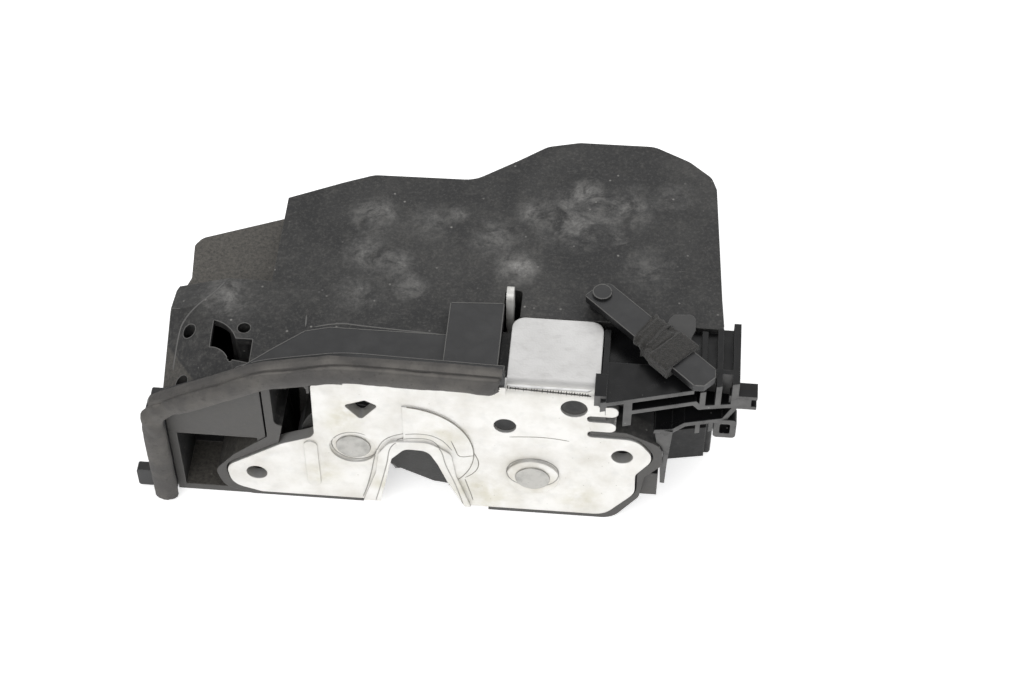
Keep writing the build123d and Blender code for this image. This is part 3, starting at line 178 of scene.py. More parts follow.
# Fillings of the lid: outline, the two levels it spans, and their axis
LID_FILLINGS = (
    # Wall of the step behind the left deck
    (((-61.6, 22.6), (-38.6, 22.6), (-38.6, 29.4), (-50.6, 29.4), (-61.6, 25.7)), 25.7, 27.596, "Y"),
    # Wall of the step beside the left deck
    (((25.8, 22.6), (53.5, 22.6), (53.5, 29.4), (25.8, 29.4)), -40.494, -38.6, "X"),
    # Web over the pit between the lid and the slanted end of the flap
    (((-40.0, 3.9), (-37.0, 3.9), (-34.0, 7.0), (-27.0, 12.0), (-26.5, 13.28), (-40.0, 13.28)),
     28.05, 30.0, "Z"),
)

# Bead of foam rubber: the way its ridge looks, its pinched corner, its top and the x over which it tapers
BEAD_RIDGE = Vector((0.0, -0.45, 0.89))
BEAD_CORNER = Vector((-64.0, -2.0, 15.0))
BEAD_TOP = 38.1
BEAD_TAPER = (12.8, 15.9)
# Lip of the bead: its two ends, the y along which it is laid, and the distance between its sections
LIP_ENDS = (-65.5, 15.6)
LIP_Y = -1.6
LIP_STEP = 0.7
# Section of the lip: y, height over the bead, and the share of the lip's rise that is added to it
LIP_SECTION = (
    (0.32, -1.0, 0.0), (-2.2, -1.0, 0.0), (-1.9, 0.02, 0.0), (-1.3, 0.08, 0.5), (-1.0, 0.12, 0.9),
    (-0.6, 0.15, 1.0), (0.32, 0.1, 1.0),
)
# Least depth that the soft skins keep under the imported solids
LEAST_DEPTH = 0.08

# Felt of the strap: the ways along and across it, where it starts, and the inner turn's beginning
FELT_ALONG = Vector((0.72, -0.69, 0.0))
FELT_ACROSS = Vector((0.69, 0.72, 0.0))
FELT_START = Vector((36.2, 26.7, 33.0))
FELT_INNER = (20.4, 19.8)
# Loose end of the felt: its two long sides as (x, y), and the level of its middle
STRIP_NEAR = (Vector((43.9, 14.1)), Vector((47.4, 10.6)))
STRIP_FAR = (Vector((48.7, 21.6)), Vector((52.2, 18.6)))
STRIP_LEVEL = 33.2
# Thin tab on the strap, as (x, y), and the two levels it spans
FILM_TAB = (
    (50.5, 16.5), (51.9, 20.9), (52.8, 22.1), (56.3, 22.4), (57.2, 22.0), (57.7, 21.2), (57.8, 17.9),
    (56.5, 14.5),
)
FILM_LEVELS = (33.3, 33.75)
PIN_RING_RADIUS = 2.1

# Levels z and y, clear of the part, from which lines are laid on it
RAY_TOP = 60
RAY_FRONT = -30
# Corners this close are one, places this close to a plane lie in it, and a cut takes these along
MERGE_DISTANCE = 0.004
PLANE_SLACK = 0.02
CUT_SLACK = 0.0005
# Laid lines: how deep their foot sits, how narrow their ends and their tops are, and the points of a circle
LINE_SINK = 0.06
LINE_END = 0.3
LINE_TOP = 0.6
CIRCLE_STEPS = 24
# Worn edges are drawn where two faces meet at more than this many degrees; the share of its radius a line sinks
SHARP_DEGREES = 28
EDGE_SINK = 0.55

# Camera and lamps, in metres; a lamp is its name, place, size and power
CAMERA_PLACE = Vector((0.042794, -0.298607, 0.418024))
CAMERA_AIM = Vector((0.0152, 0.030, 0.0108))
SENSOR_WIDTH = 36.0
LIGHTS = (
    ("key_light", (-0.35, -0.75, 0.95), 0.7, 5.0),
    ("fill_light", (0.75, -0.25, 0.8), 0.8, 1.5),
    ("rim_light", (0.1, 0.9, 0.8), 0.9, 3.0),
)
FLOOR_HALF = 3.0
FLOOR_GLOW = 0.6
SURROUND_GLOW = 0.5


def colour(name, description, default):
    """A colour property."""
    return bpy.props.FloatVectorProperty(
        name=name, description=description, subtype="COLOR", size=3, min=0.0, max=1.0, default=default
    )


def length(name, description, default_mm):
    """A length property, given in millimetres."""
    return bpy.props.FloatProperty(
        name=name, description=description, unit="LENGTH", default=default_mm * MM, precision=5
    )


class LatchColours(bpy.types.PropertyGroup):
    """Base colours of the finishes."""

    zinc: colour("Zinc plate", "Passivated zinc of the pressed face plate", (0.80, 0.79, 0.765))
    steel: colour("Bright steel", "Rivets and pawl", (0.46, 0.452, 0.43))
    dark_steel: colour("Dark steel", "Catch and springs", (0.30, 0.30, 0.30))
    casing: colour("Casing", "Dusty charcoal plastic of the casing shells", (0.0165, 0.0165, 0.017))
    casing_dust: colour("Casing dust", "Pale dust rubbed into the casing", (0.16, 0.155, 0.145))
    clean: colour("Clean plastic", "Flap and block behind the seal", (0.015, 0.015, 0.016))
    bracket: colour("Bracket", "Glossy black of the ribbed bracket", (0.006, 0.006, 0.0065))
    edge_wear: colour("Edge wear", "Rubbed edges of the plastic", (0.20, 0.20, 0.20))
    seal: colour("Seal", "Foam rubber of the bead", (0.072, 0.068, 0.065))
    felt: colour("Felt", "Felt sleeve of the strap", (0.019, 0.018, 0.0165))
    gear: colour("Gear plastic", "Natural plastic of the gears", (0.72, 0.70, 0.62))
    terminal: colour("Terminal plastic", "Inner carriers and switches", (0.05, 0.05, 0.055))
    brass: colour("Brass", "Connector pins", (0.72, 0.52, 0.22))
    jacket: colour("Jacket", "Overmould of the catch", (0.022, 0.0215, 0.0205))
    buffer: colour("Buffer", "Rubber stop at the end of the mouth", (0.02, 0.02, 0.02))
    film: colour("Film", "Thin tab on the strap", (0.035, 0.034, 0.033))
    # Rubbed wear and painted highlight along the moulded edges
    rubbed_edge_and_highlight: colour("Rubbed edge", "Lines along the worn edges of the mouldings", (0.15, 0.147, 0.142))
    pale_steel: colour("Pale steel", "Release lever", (0.78, 0.77, 0.74))
    # Also used for the painted shade along the rim of the plate's relief
    scribe_and_step_shade: colour("Scribe", "Scribed lines of the plate", (0.30, 0.285, 0.25))
    # Painted shade along the steps of the plate's raised rim and round the rivets
    rim_step_shade: colour("Rim shine", "Bright lines of the plate", (0.42, 0.41, 0.385))
    # Painted highlight on the fold of the tab
    fold_shine: colour("Fold shine", "Bright band on the fold of the tab", (0.95, 0.945, 0.935))
    crimp_dark: colour("Crimp", "Dark marks along the fold", (0.07, 0.068, 0.064))
    floor: colour("Floor", "Pale studio floor", (0.90, 0.90, 0.90))


class LatchSizes(bpy.types.PropertyGroup):
    """Sizes of the small pieces."""

    edge_radius: length("Edge radius", "Rounding that the shading gives to moulded edges", 0.35)
    scribe_width: length("Scribe width", "Width of the scribed lines on the plate", 0.32)
    scribe_height: length("Scribe height", "Height of a scribed line above the plate", 0.03)
    crimp_pitch: length("Crimp pitch", "Spacing of the marks along the fold", 0.6)
    camera_lens: bpy.props.FloatProperty(
        name="Lens", description="Focal length of the camera in millimetres", default=77.34, min=10.0
    )


def colours():
    """Colours as set in the panel."""
    return bpy.context.scene.latch_colours


def sizes():
    """Sizes as set in the panel."""
    return bpy.context.scene.latch_sizes


def centre_of(node):
    """Middle of a node's box."""
    low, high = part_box(node)
    return (low + high) / 2


class Finish:
    """A node material under construction, with its patterns measured in millimetres."""

    def __init__(self, name, base, roughness, metallic=0.0, rounded=True):
        self.material = bpy.data.materials.new(name)
        self.material.use_nodes = True
        self.tree = self.material.node_tree
        self.shader = self.tree.nodes["Principled BSDF"]
        self.shader.inputs["Metallic"].default_value = metallic
        self.shader.inputs["Roughness"].default_value = roughness
        self.base = tuple(base)
        place = self.add("ShaderNodeTexCoord")
        self.normal = place.outputs["Normal"]
        scale = self.add("ShaderNodeVectorMath", operation="SCALE")
        scale.inputs["Scale"].default_value = 1 / MM
        self.join(place.outputs["Object"], scale.inputs[0])
        self.place = scale.outputs[0]
        self.bevel = None
        if rounded:
            bevel = self.add("ShaderNodeBevel", samples=4)
            bevel.inputs["Radius"].default_value = sizes().edge_radius
            self.bevel = bevel.outputs[0]
            self.join(self.bevel, self.shader.inputs["Normal"])

    def add(self, kind, **settings):
        """Add a node and set its options."""
        node = self.tree.nodes.new(kind)
        for key, value in settings.items():
            setattr(node, key, value)
        return node

    def join(self, output, socket):
        """Link an output to an input."""
        self.tree.links.new(output, socket)

    def noise(self, size, detail=4.0, rough=0.55, stretch=(1, 1, 1), warp=0.0, seed=0.0):
        """Cloudy pattern whose features are about this many millimetres across."""
        mapping = self.add("ShaderNodeMapping")
        mapping.inputs["Scale"].default_value = stretch
        mapping.inputs["Location"].default_value = (seed, seed * 0.7, seed * 0.3)
        self.join(self.place, mapping.inputs["Vector"])
        cloud = self.add("ShaderNodeTexNoise")
        cloud.inputs["Scale"].default_value = 1 / size
        cloud.inputs["Detail"].default_value = detail
        cloud.inputs["Roughness"].default_value = rough
        cloud.inputs["Distortion"].default_value = warp
        self.join(mapping.outputs[0], cloud.inputs["Vector"])
        return cloud.outputs["Fac"]

    def spots(self, size, seed=0.0):
        """Distance to scattered points, about this many millimetres apart."""
        mapping = self.add("ShaderNodeMapping")
        mapping.inputs["Location"].default_value = (seed, seed, seed)
        self.join(self.place, mapping.inputs["Vector"])
        cells = self.add("ShaderNodeTexVoronoi")
        cells.inputs["Scale"].default_value = 1 / size
        self.join(mapping.outputs[0], cells.inputs["Vector"])
        return cells.outputs["Distance"]

    def window(self, value, low, high, to_low=0.0, to_high=1.0):
        """Map a value from one range to another, clamped."""
        node = self.add("ShaderNodeMapRange", clamp=True)
        for socket, number in zip(("From Min", "From Max", "To Min", "To Max"), (low, high, to_low, to_high)):
            node.inputs[socket].default_value = number
        self.join(value, node.inputs["Value"])
        return node.outputs[0]

    def math(self, operation, first, second):
        """Arithmetic on two values; either may be a number."""
        node = self.add("ShaderNodeMath", operation=operation)
        for socket, value in zip(node.inputs, (first, second)):
            if isinstance(value, (int, float)):
                socket.default_value = value
            else:
                self.join(value, socket)
        return node.outputs[0]

    def times(self, first, *others):
        """Product of patterns and numbers."""
        for other in others:
            first = self.math("MULTIPLY", first, other)
        return first

    def near(self, point, full, reach):
        """1 within the first distance of a point, fading to 0 at the second; all in millimetres."""
        node = self.add("ShaderNodeVectorMath", operation="DISTANCE")
        node.inputs[1].default_value = point
        self.join(self.place, node.inputs[0])
        return self.window(node.outputs["Value"], full, reach, 1, 0)

    def facing(self, axis, low, high):
        """1 where the surface faces along an axis; low and high are the cosines of the fade."""
        node = self.add("ShaderNodeVectorMath", operation="DOT_PRODUCT")
        node.inputs[1].default_value = axis
        self.join(self.normal, node.inputs[0])
        return self.window(node.outputs["Value"], low, high)

    def below(self, axis, high, low):
        """1 where a coordinate in millimetres is under low, fading to 0 at high."""
        parts = self.add("ShaderNodeSeparateXYZ")
        self.join(self.place, parts.inputs[0])
        return self.window(parts.outputs[axis], low, high, 1, 0)

    def edges(self, low=0.02, high=0.25):
        """1 along the piece's sharp edges."""
        geometry = self.add("ShaderNodeNewGeometry")
        node = self.add("ShaderNodeVectorMath", operation="DOT_PRODUCT")
        self.join(self.bevel, node.inputs[0])
        self.join(geometry.outputs["True Normal"], node.inputs[1])
        return self.window(self.math("SUBTRACT", 1.0, node.outputs["Value"]), low, high)

    def tint(self, shade, *patterns):
        """Mix a colour over the base where the product of the patterns is high."""
        mix = self.add("ShaderNodeMix", data_type="RGBA")
        self.join(self.times(*patterns), mix.inputs["Factor"])
        self.fill(mix.inputs[MIX_UNDER])
        mix.inputs[MIX_OVER].default_value = (*shade, 1)
        self.base = mix.outputs[MIX_RESULT]

    def fill(self, socket):
        """Give a colour socket the base as it stands."""
        if isinstance(self.base, bpy.types.NodeSocket):
            self.join(self.base, socket)
        else:
            socket.default_value = (*self.base, 1)

    def rough(self, value, low, high):
        """Let a pattern drive the roughness."""
        self.join(self.window(value, *CLOUD_SPAN, low, high), self.shader.inputs["Roughness"])

    def bump(self, value, depth):
        """Relief of this depth in millimetres."""
        node = self.add("ShaderNodeBump")
        node.inputs["Distance"].default_value = depth * MM
        self.join(value, node.inputs["Height"])
        if self.bevel:
            self.join(self.bevel, node.inputs["Normal"])
        self.join(node.outputs[0], self.shader.inputs["Normal"])

    def done(self):
        """Write the base colour and hand over the material."""
        self.fill(self.shader.inputs["Base Color"])
        return self.material


def zinc_finish():
    """Passivated zinc: pale and warm, speckled, stained round the rivets, and greyer on top with painted shade.
    """
    finish = Finish("zinc_plate", colours().zinc, 0.42, metallic=0.62)
    cloud = finish.noise(11, detail=6, rough=0.62)
    finish.tint(ZINC_CLOUD, finish.window(cloud, 0.42, 0.72, 0, 0.75))
    finish.tint(ZINC_HAZE, finish.window(finish.noise(3.4, detail=5, seed=14), 0.52, 0.72, 0, 0.35))
    ring_patches = finish.window(finish.noise(5, seed=3), 0.36, 0.62)
    for node in ("claw_pivot", "pawl_pivot"):
        middle = centre_of(node)
        head = Vector((middle.x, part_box(node)[0].y, middle.z)) / MM
        finish.tint(RIVET_STAIN, finish.near(head, 4.0, 8.5), ring_patches, 0.6)
    stain_patches = finish.window(finish.noise(4, seed=6), 0.34, 0.62)
    for place, reach in PLATE_STAINS:
        finish.tint(PLATE_STAIN, finish.near(place, reach * 0.3, reach), stain_patches, 0.5)
    specks = finish.window(finish.spots(2.0), 0.0, 0.10, 1, 0)
    finish.tint(ZINC_SPECK, specks, finish.window(finish.noise(9, seed=7), 0.46, 0.58), 0.7)
    # Painted shade: the upward faces are greyed
    top = finish.facing(UP, 0.75, 0.97)
    finish.tint(ZINC_TOP_SHADE, top, 0.85)
    rubbed = finish.noise(1.6, detail=5, rough=0.7, stretch=(0.5, 1, 1), seed=31)
    finish.tint(ZINC_RUBBED, top, finish.window(rubbed, 0.5, 0.75, 0, 0.5))
    front_or_top = finish.math("MAXIMUM", finish.facing(FRONT, 0.2, 0.75), top)
    finish.tint(ZINC_SIDE, finish.math("SUBTRACT", 1.0, front_or_top), 0.35)
    finish.rough(cloud, 0.36, 0.5)
    finish.bump(finish.math("ADD", finish.noise(0.5, detail=3), finish.times(cloud, 2.0)), 0.03)
    return finish.done()


def steel_finish(name, shade, roughness=0.32, metallic=0.85):
    """Machined or stamped steel with fine scratches and a trace of tarnish."""
    finish = Finish(name, shade, roughness, metallic)
    tarnish = finish.noise(3.0, detail=6, rough=0.62)
    finish.tint([part * 0.6 for part in shade], finish.window(tarnish, 0.46, 0.7, 0, 0.6))
    flecks = finish.window(finish.spots(1.3, seed=4), 0.0, 0.12, 1, 0)
    finish.tint([part * 0.3 for part in shade], flecks, finish.window(tarnish, 0.45, 0.6))
    finish.rough(tarnish, roughness - 0.06, roughness + 0.14)
    finish.bump(finish.noise(0.25, detail=2, stretch=(1, 1, 0.1)), 0.01)
    return finish.done()


def casing_finish():
    """Charcoal plastic with moulded grain, pale smudges, specks of dust, rubbed edges with painted highlight,
    painted reflection on its front faces, and painted shade round the plate's holes and inside.
    """
    finish = Finish("casing_plastic", colours().casing, 0.55)
    dust = colours().casing_dust
    broad = finish.noise(26, detail=7, rough=0.6, warp=0.5)
    fine = finish.noise(1.9, detail=6, rough=0.72, seed=11)
    mottle = finish.noise(0.8, detail=4, rough=0.75, seed=17)
    top = finish.facing(UP, 0.3, 0.9)
    finish.tint(dust, finish.window(broad, 0.44, 0.74), finish.window(fine, 0.2, 0.75, 0.25, 1), top, 0.45)
    cloudy = finish.window(finish.noise(5.5, detail=7, rough=0.68, warp=0.8, seed=8), 0.38, 0.66)
    broken = finish.window(fine, 0.34, 0.58, 0.3, 1)
    for place, reach, strength in LID_SMUDGES:
        finish.tint(CASING_SMUDGE, finish.near(place, reach * 0.15, reach), cloudy, broken, strength)
    finish.tint(dust, finish.window(fine, 0.48, 0.78, 0, 0.36))
    finish.tint(dust, finish.window(mottle, 0.52, 0.75, 0, 0.4))
    finish.tint(CASING_PIT, finish.window(mottle, 0.48, 0.25, 0, 0.6))
    specks = finish.window(finish.spots(3.0, seed=2), 0.03, 0.12, 1, 0)
    finish.tint(CASING_SPECK, specks, finish.window(finish.noise(11, seed=5), 0.48, 0.56), 0.75)
    streaks = finish.noise(1.0, detail=3, stretch=(0.2, 1.1, 1), warp=0.6, seed=21)
    finish.tint(dust, finish.window(streaks, 0.66, 0.78, 0, 0.3))
    # Painted reflection: front faces near the front are made paler
    front_reflection = finish.times(finish.facing(FRONT, 0.75, 0.97), finish.below("Y", 5.5, 3.5))
    finish.tint(CASING_FRONT_REFLECTION, front_reflection, finish.window(fine, 0.2, 0.6, 0.55, 0.95))
    # Painted shadow round the open holes of the plate
    for x, z in PLATE_HOLES:
        finish.tint(CASING_HOLE_SHADOW, finish.near((x, 4.0, z), 3.6, 4.6), 0.9)
    # Painted shade inside the casing, behind the plate
    behind_plate = finish.math("SUBTRACT", 1.0, finish.below("Y", 6.5, 5.5))
    front_or_top = finish.math("MAXIMUM", finish.facing(FRONT, 0.6, 0.8), top)
    finish.tint(CASING_INSIDE_SHADE, finish.below("Z", 21.0, 20.0), behind_plate, front_or_top, 0.85)
    left_deck = finish.times(finish.below("X", -39.8, -41.0), finish.below("Z", 23.4, 23.1))
    finish.tint(CASING_LEFT, left_deck, top, finish.window(mottle, 0.3, 0.6, 0.2, 0.8))
    # Rubbed wear and painted highlight along the edges
    finish.tint(CASING_EDGE_WEAR_AND_HIGHLIGHT, finish.edges(), finish.window(fine, 0.3, 0.6, 0.15, 0.8))
    finish.rough(fine, 0.5, 0.72)
    finish.bump(finish.math("ADD", finish.noise(0.30, detail=3), finish.noise(1.6, detail=2)), 0.04)
    return finish.done()


def bracket_finish():
    """Glossy black moulding whose front faces are greyed with painted reflection, and whose edges are rubbed
    grey with painted highlight.
    """
    finish = Finish("bracket_plastic", colours().bracket, 0.3)
    finish.shader.inputs["Specular IOR Level"].default_value = 0.22
    cloud = finish.noise(4, detail=6, seed=4)
    # Painted reflection: the front faces are greyed
    finish.tint(BRACKET_FRONT_REFLECTION, finish.facing(FRONT, 0.8, 0.98), finish.window(cloud, 0.3, 0.65, 0.45, 0.85))
    # Rubbed wear and painted highlight along the edges
    finish.tint(BRACKET_EDGE_WEAR_AND_HIGHLIGHT, finish.edges(), finish.window(cloud, 0.25, 0.6, 0.3, 0.8))
    specks = finish.window(finish.spots(2.4, seed=6), 0.02, 0.09, 1, 0)
    finish.tint(BRACKET_SPECK, specks, finish.window(cloud, 0.5, 0.6))
    finish.rough(cloud, 0.22, 0.42)
    finish.bump(finish.noise(0.4, detail=3), 0.012)
    return finish.done()


def plastic_finish(name, shade, roughness, wear=0.5, grain=0.02):
    """Moulded plastic with a fine grain, a little dust and rubbed edges."""
    finish = Finish(name, shade, roughness)
    cloud = finish.noise(7, detail=6, seed=4)
    rubbed = colours().edge_wear
    finish.tint(rubbed, finish.window(cloud, 0.5, 0.8, 0, 0.18))
    finish.tint(rubbed, finish.edges(), finish.window(cloud, 0.25, 0.6, wear * 0.4, wear))
    finish.rough(cloud, roughness - 0.08, roughness + 0.1)
    finish.bump(finish.noise(0.3, detail=3), grain)
    return finish.done()


def seal_finish():
    """Foam rubber: brownish grey, pitted, paler where it faces up and forward."""
    finish = Finish("seal_rubber", colours().seal, 0.78, rounded=False)
    cloud = finish.noise(6, detail=6)
    finish.tint(SEAL_CLOUD, finish.window(cloud, 0.45, 0.75, 0, 0.55))
    finish.tint(SEAL_PIT, finish.window(finish.noise(1.4, detail=4, seed=9), 0.58, 0.75, 0, 0.6))
    finish.tint(SEAL_CROWN, finish.facing(CROWN, 0.85, 1.0), finish.window(cloud, 0.3, 0.6, 0.1, 0.5))
    pores = finish.noise(0.55, detail=5, rough=0.7)
    finish.bump(finish.math("ADD", pores, finish.noise(3.5, detail=2)), 0.16)
    return finish.done()


def felt_finish():
    """Pressed felt with short fibres."""
    finish = Finish("felt", colours().felt, 0.95, rounded=False)
    finish.shader.inputs["Sheen Weight"].default_value = 0.25
    fibre = finish.noise(0.5, detail=6, rough=0.8, warp=1.2)
    finish.tint(FELT_FIBRE, finish.window(fibre, 0.45, 0.75))
    finish.bump(fibre, 0.35)
    return finish.done()


def finishes():
    """All materials: first one for each slot of the part, then those of the small pieces."""
    shades = colours()
    return {
        "zinc_plate": zinc_finish(),
        "bright_steel": steel_finish("bright_steel", shades.steel),
        "spring_steel": steel_finish("spring_steel", shades.dark_steel, 0.4),
        "cast_claw": steel_finish("cast_claw", shades.dark_steel, 0.45),
        "brass": steel_finish("brass", shades.brass, 0.3),
        "charcoal_plastic": casing_finish(),
        "black_plastic": plastic_finish("black_plastic", shades.clean, 0.42),
        "bracket_plastic": bracket_finish(),
        "jacket_plastic": plastic_finish("jacket_plastic", shades.jacket, 0.5, wear=0.8, grain=0.15),
        "gear_plastic": plastic_finish("gear_plastic", shades.gear, 0.4, wear=0.1),
        "terminal_plastic": plastic_finish("terminal_plastic", shades.terminal, 0.45),
        "seal_rubber": seal_finish(),
        "buffer_rubber": plastic_finish("buffer_rubber", shades.buffer, 0.8, wear=0.2),
        "felt": felt_finish(),
        # Rubbed wear and painted highlight of the edge lines
        "rubbed_edge_and_highlight": plastic_finish("rubbed_edge_and_highlight", shades.rubbed_edge_and_highlight, 0.6, wear=0.1),
        "pale_steel": steel_finish("pale_steel", shades.pale_steel, 0.45, metallic=0.35),
        "crimp_dark": steel_finish("crimp_dark", shades.crimp_dark, 0.6, metallic=0.2),
        # Painted highlight on the fold of the tab
        "fold_shine": steel_finish("fold_shine", shades.fold_shine, 0.5, metallic=0.1),
        # Scribed lines, and painted shade along the relief's rim
        "scribe_and_step_shade": steel_finish("scribe_and_step_shade", shades.scribe_and_step_shade, 0.5, metallic=0.4),
        # Painted shade along the rim's steps and round the rivets
        "rim_step_shade": steel_finish("rim_step_shade", shades.rim_step_shade, 0.4, metallic=0.6),
        "film": plastic_finish("film", shades.film, 0.4, wear=0.9),
    }


# Finishes made so far, by name
MATERIALS = {}


def material(name):
    """A finish by its name, made at first use."""
    if not MATERIALS:
        MATERIALS.update(finishes())
    return MATERIALS[name]


def coat(mesh, finish):
    """Give a mesh one finish."""
    mesh.materials.clear()
    mesh.materials.append(material(finish))


def dress(*nodes, finish=None):
    """Give carried-over nodes the finish of their own slot, or one named finish."""
    slots = {row["node"]: row["material_slot"] for row in frame["record"]["subparts"]}
    for name in nodes:
        coat(frame["nodes"][name].data, finish or slots[name])


def add_piece(name, mesh, slot, body="root", finish=None):
    """Link a new mesh as a piece that moves with a body, in the finish of its slot or one named finish."""
    piece = bpy.data.objects.new(name, mesh)
    bpy.context.scene.collection.objects.link(piece)
    coat(mesh, finish or slot)
    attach(piece, body)
    return piece


def mesh_of(shape, name, crease_degrees=None):
    """Mesh from a shape under construction, with outward faces; smooth where flatter than the crease."""
    bmesh.ops.recalc_face_normals(shape, faces=shape.faces)
    mesh = bpy.data.meshes.new(name)
    shape.to_mesh(mesh)
    shape.free()
    if crease_degrees:
        mesh.polygons.foreach_set("use_smooth", [True] * len(mesh.polygons))
        mesh.set_sharp_from_angle(angle=math.radians(crease_degrees))
    return mesh


def copy_of(node):
    """A shape under construction that starts as a node's own, with its doubled corners merged."""
    shape = bmesh.new()
    shape.from_mesh(frame["nodes"][node].data)
    bmesh.ops.remove_doubles(shape, verts=shape.verts, dist=MERGE_DISTANCE * MM)
    return shape


def join_rings(shape, rings):
    """Skin matching rings of points into one closed body, capped at both ends."""
    for first, second in zip(rings, rings[1:]):
        for index in range(len(first)):
            after = (index + 1) % len(first)
            shape.faces.new((first[index], first[after], second[after], second[index]))
    shape.faces.new(rings[0])
    shape.faces.new(rings[-1])


def add_prism(shape, outline, low, high, axis):
    """Add a closed prism over an outline in millimetres, between two levels of an axis."""
    order = {
        "X": lambda u, v, w: (w, u, v),
        "Y": lambda u, v, w: (u, w, v),
        "Z": lambda u, v, w: (u, v, w),
    }[axis]
    rings = [[shape.verts.new(Vector(order(u, v, w)) * MM) for u, v in outline] for w in (low, high)]
    join_rings(shape, rings)


# Search trees made so far, by node
TREES = {}


def surface(node):
    """Search tree of a node's mesh, made at first use."""
    if node not in TREES:
        mesh = frame["nodes"][node].data
        TREES[node] = BVHTree.FromPolygons(
            [point.co.copy() for point in mesh.vertices], [tuple(face.vertices) for face in mesh.polygons]
        )
    return TREES[node]


def smooth_path(points, step):
    """Points about this far apart on a smooth curve through the given ones."""
    given = [Vector(point) for point in points]
    path = []
    for index in range(len(given) - 1):
        first, second = given[index], given[index + 1]
        before = given[index - 1] if index else first * 2 - second
        after = given[index + 2] if index + 2 < len(given) else second * 2 - first
        slope = second - before
        bend = 2 * before - 5 * first + 4 * second - after
        swing = 3 * first - before - 3 * second + after
        count = max(1, round((second - first).length / step))
        for number in range(count):
            t = number / count
            path.append(0.5 * (2 * first + slope * t + bend * t * t + swing * t ** 3))
    return [*path, given[-1]]


def laid(points, view, node, step=0.8):
    """Places and outward directions along a line laid on a node from the top (x, y) or the front (x, z)."""
    places = []
    for spot in smooth_path(points, step):
        if view == "top":
            start, toward = Vector((spot.x, spot.y, RAY_TOP)), Vector((0, 0, -1))
        else:
            start, toward = Vector((spot.x, RAY_FRONT, spot.y)), Vector((0, 1, 0))
        hit = surface(node).ray_cast(start * MM, toward)[0]
        if hit is not None:
            places.append((hit, -toward))
    return places


def add_line(shape, places, width, height):
    """Add a low raised line through laid places; width and height in millimetres."""
    if len(places) < 2:
        return
    rings = []
    last = len(places) - 1
    for index, (place, up) in enumerate(places):
        along = places[min(index + 1, last)][0] - places[max(index - 1, 0)][0]
        side = along.cross(up).normalized() * width * MM / 2
        if index in (0, last):
            side *= LINE_END
        foot = place - up * LINE_SINK * MM
        crest = place + up * height * MM
        corners = (foot - side, crest - side * LINE_TOP, crest + side * LINE_TOP, foot + side)
        rings.append([shape.verts.new(corner) for corner in corners])
    join_rings(shape, rings)


def line_mesh(name, lines, width, height):
    """One mesh of several laid lines."""
    shape = bmesh.new()
    for places in lines:
        add_line(shape, places, width, height)
    return mesh_of(shape, name)


def add_lines(name, lines, view, node, section, slot, finish):
    """Link one piece of several lines laid on a node; the section is a line's width and height."""
    mesh = line_mesh(name, [laid(line, view, node) for line in lines], *section)
    return add_piece(name, mesh, slot, finish=finish)


def circle(middle, radius, flat=1.0, span=(0, 360)):
    """Points round a circle or an oval, in millimetres."""
    start, turn = span[0], (span[1] - span[0]) / CIRCLE_STEPS
    angles = [math.radians(start + turn * number) for number in range(CIRCLE_STEPS + 1)]
    return [(middle[0] + radius * math.cos(a), middle[1] + radius * flat * math.sin(a)) for a in angles]


def wear_and_painted_light_edges(node, keep, radius=0.13):
    """Slim lines along the outer sharp edges of a node that keep(first end, second end, normals) accepts; their
    finishes give rubbed wear with painted highlight, and painted shade along the plate's relief.
    """
    source = copy_of(node)
    source.normal_update()
    shape = bmesh.new()
    for edge in source.edges:
        if len(edge.link_faces) != 2 or not edge.is_convex:
            continue
        normals = [face.normal for face in edge.link_faces]
        first, second = (point.co / MM for point in edge.verts)
        if normals[0].angle(normals[1], 0) < math.radians(SHARP_DEGREES) or not keep(first, second, normals):
            continue
        out = (normals[0] + normals[1]).normalized()
        side = (second - first).normalized().cross(out)
        middles = (first - out * radius * EDGE_SINK, second - out * radius * EDGE_SINK)
        turns = (out, side, -out, -side)
        rings = [[shape.verts.new((middle + turn * radius) * MM) for turn in turns] for middle in middles]
        join_rings(shape, rings)
    source.free()
    return mesh_of(shape, node + "_edges")


def upper_edges(least_z, least_up):
    """Test for wear_and_painted_light_edges: edges above a level in millimetres, beside a face that looks up this much."""
    return lambda first, second, normals: (
        min(first.z, second.z) > least_z and max(normal.z for normal in normals) > least_up
    )


def remeshed(node, voxel):
    """Fine, even skin over a node's shape; voxel in millimetres."""
    holder = bpy.data.objects.new("skin", frame["nodes"][node].data.copy())
    bpy.context.scene.collection.objects.link(holder)
    skin = holder.modifiers.new("skin", "REMESH")
    skin.mode = "VOXEL"
    skin.voxel_size = voxel * MM
    mesh = bpy.data.meshes.new_from_object(holder.evaluated_get(bpy.context.evaluated_depsgraph_get()))
    bpy.data.objects.remove(holder)
    mesh.polygons.foreach_set("use_smooth", [True] * len(mesh.polygons))
    return mesh


def press_in(mesh, depth):
    """Move each point of a mesh inward by depth(place, normal), at least by the least depth."""
    moves = [(point.normal.copy(), depth(point.co / MM, point.normal)) for point in mesh.vertices]
    for point, (normal, move) in zip(mesh.vertices, moves):
        point.co -= normal * max(move, LEAST_DEPTH) * MM
    mesh.update()
    return mesh


def ramp(value, low, high):
    """0 at low, 1 at high, smooth between and level beyond; low may be the larger."""
    t = min(max((value - low) / (high - low), 0.0), 1.0)
    return t * t * (3 - 2 * t)


def wave(value):
    """Sine between 0 and 1."""
    return 0.5 + 0.5 * math.sin(value)


def buffer_depth(place, normal):
    """The rubber stop is slightly uneven all over."""
    return 0.1 + 0.15 * (0.5 + 0.5 * noise.noise(place / 2.0))


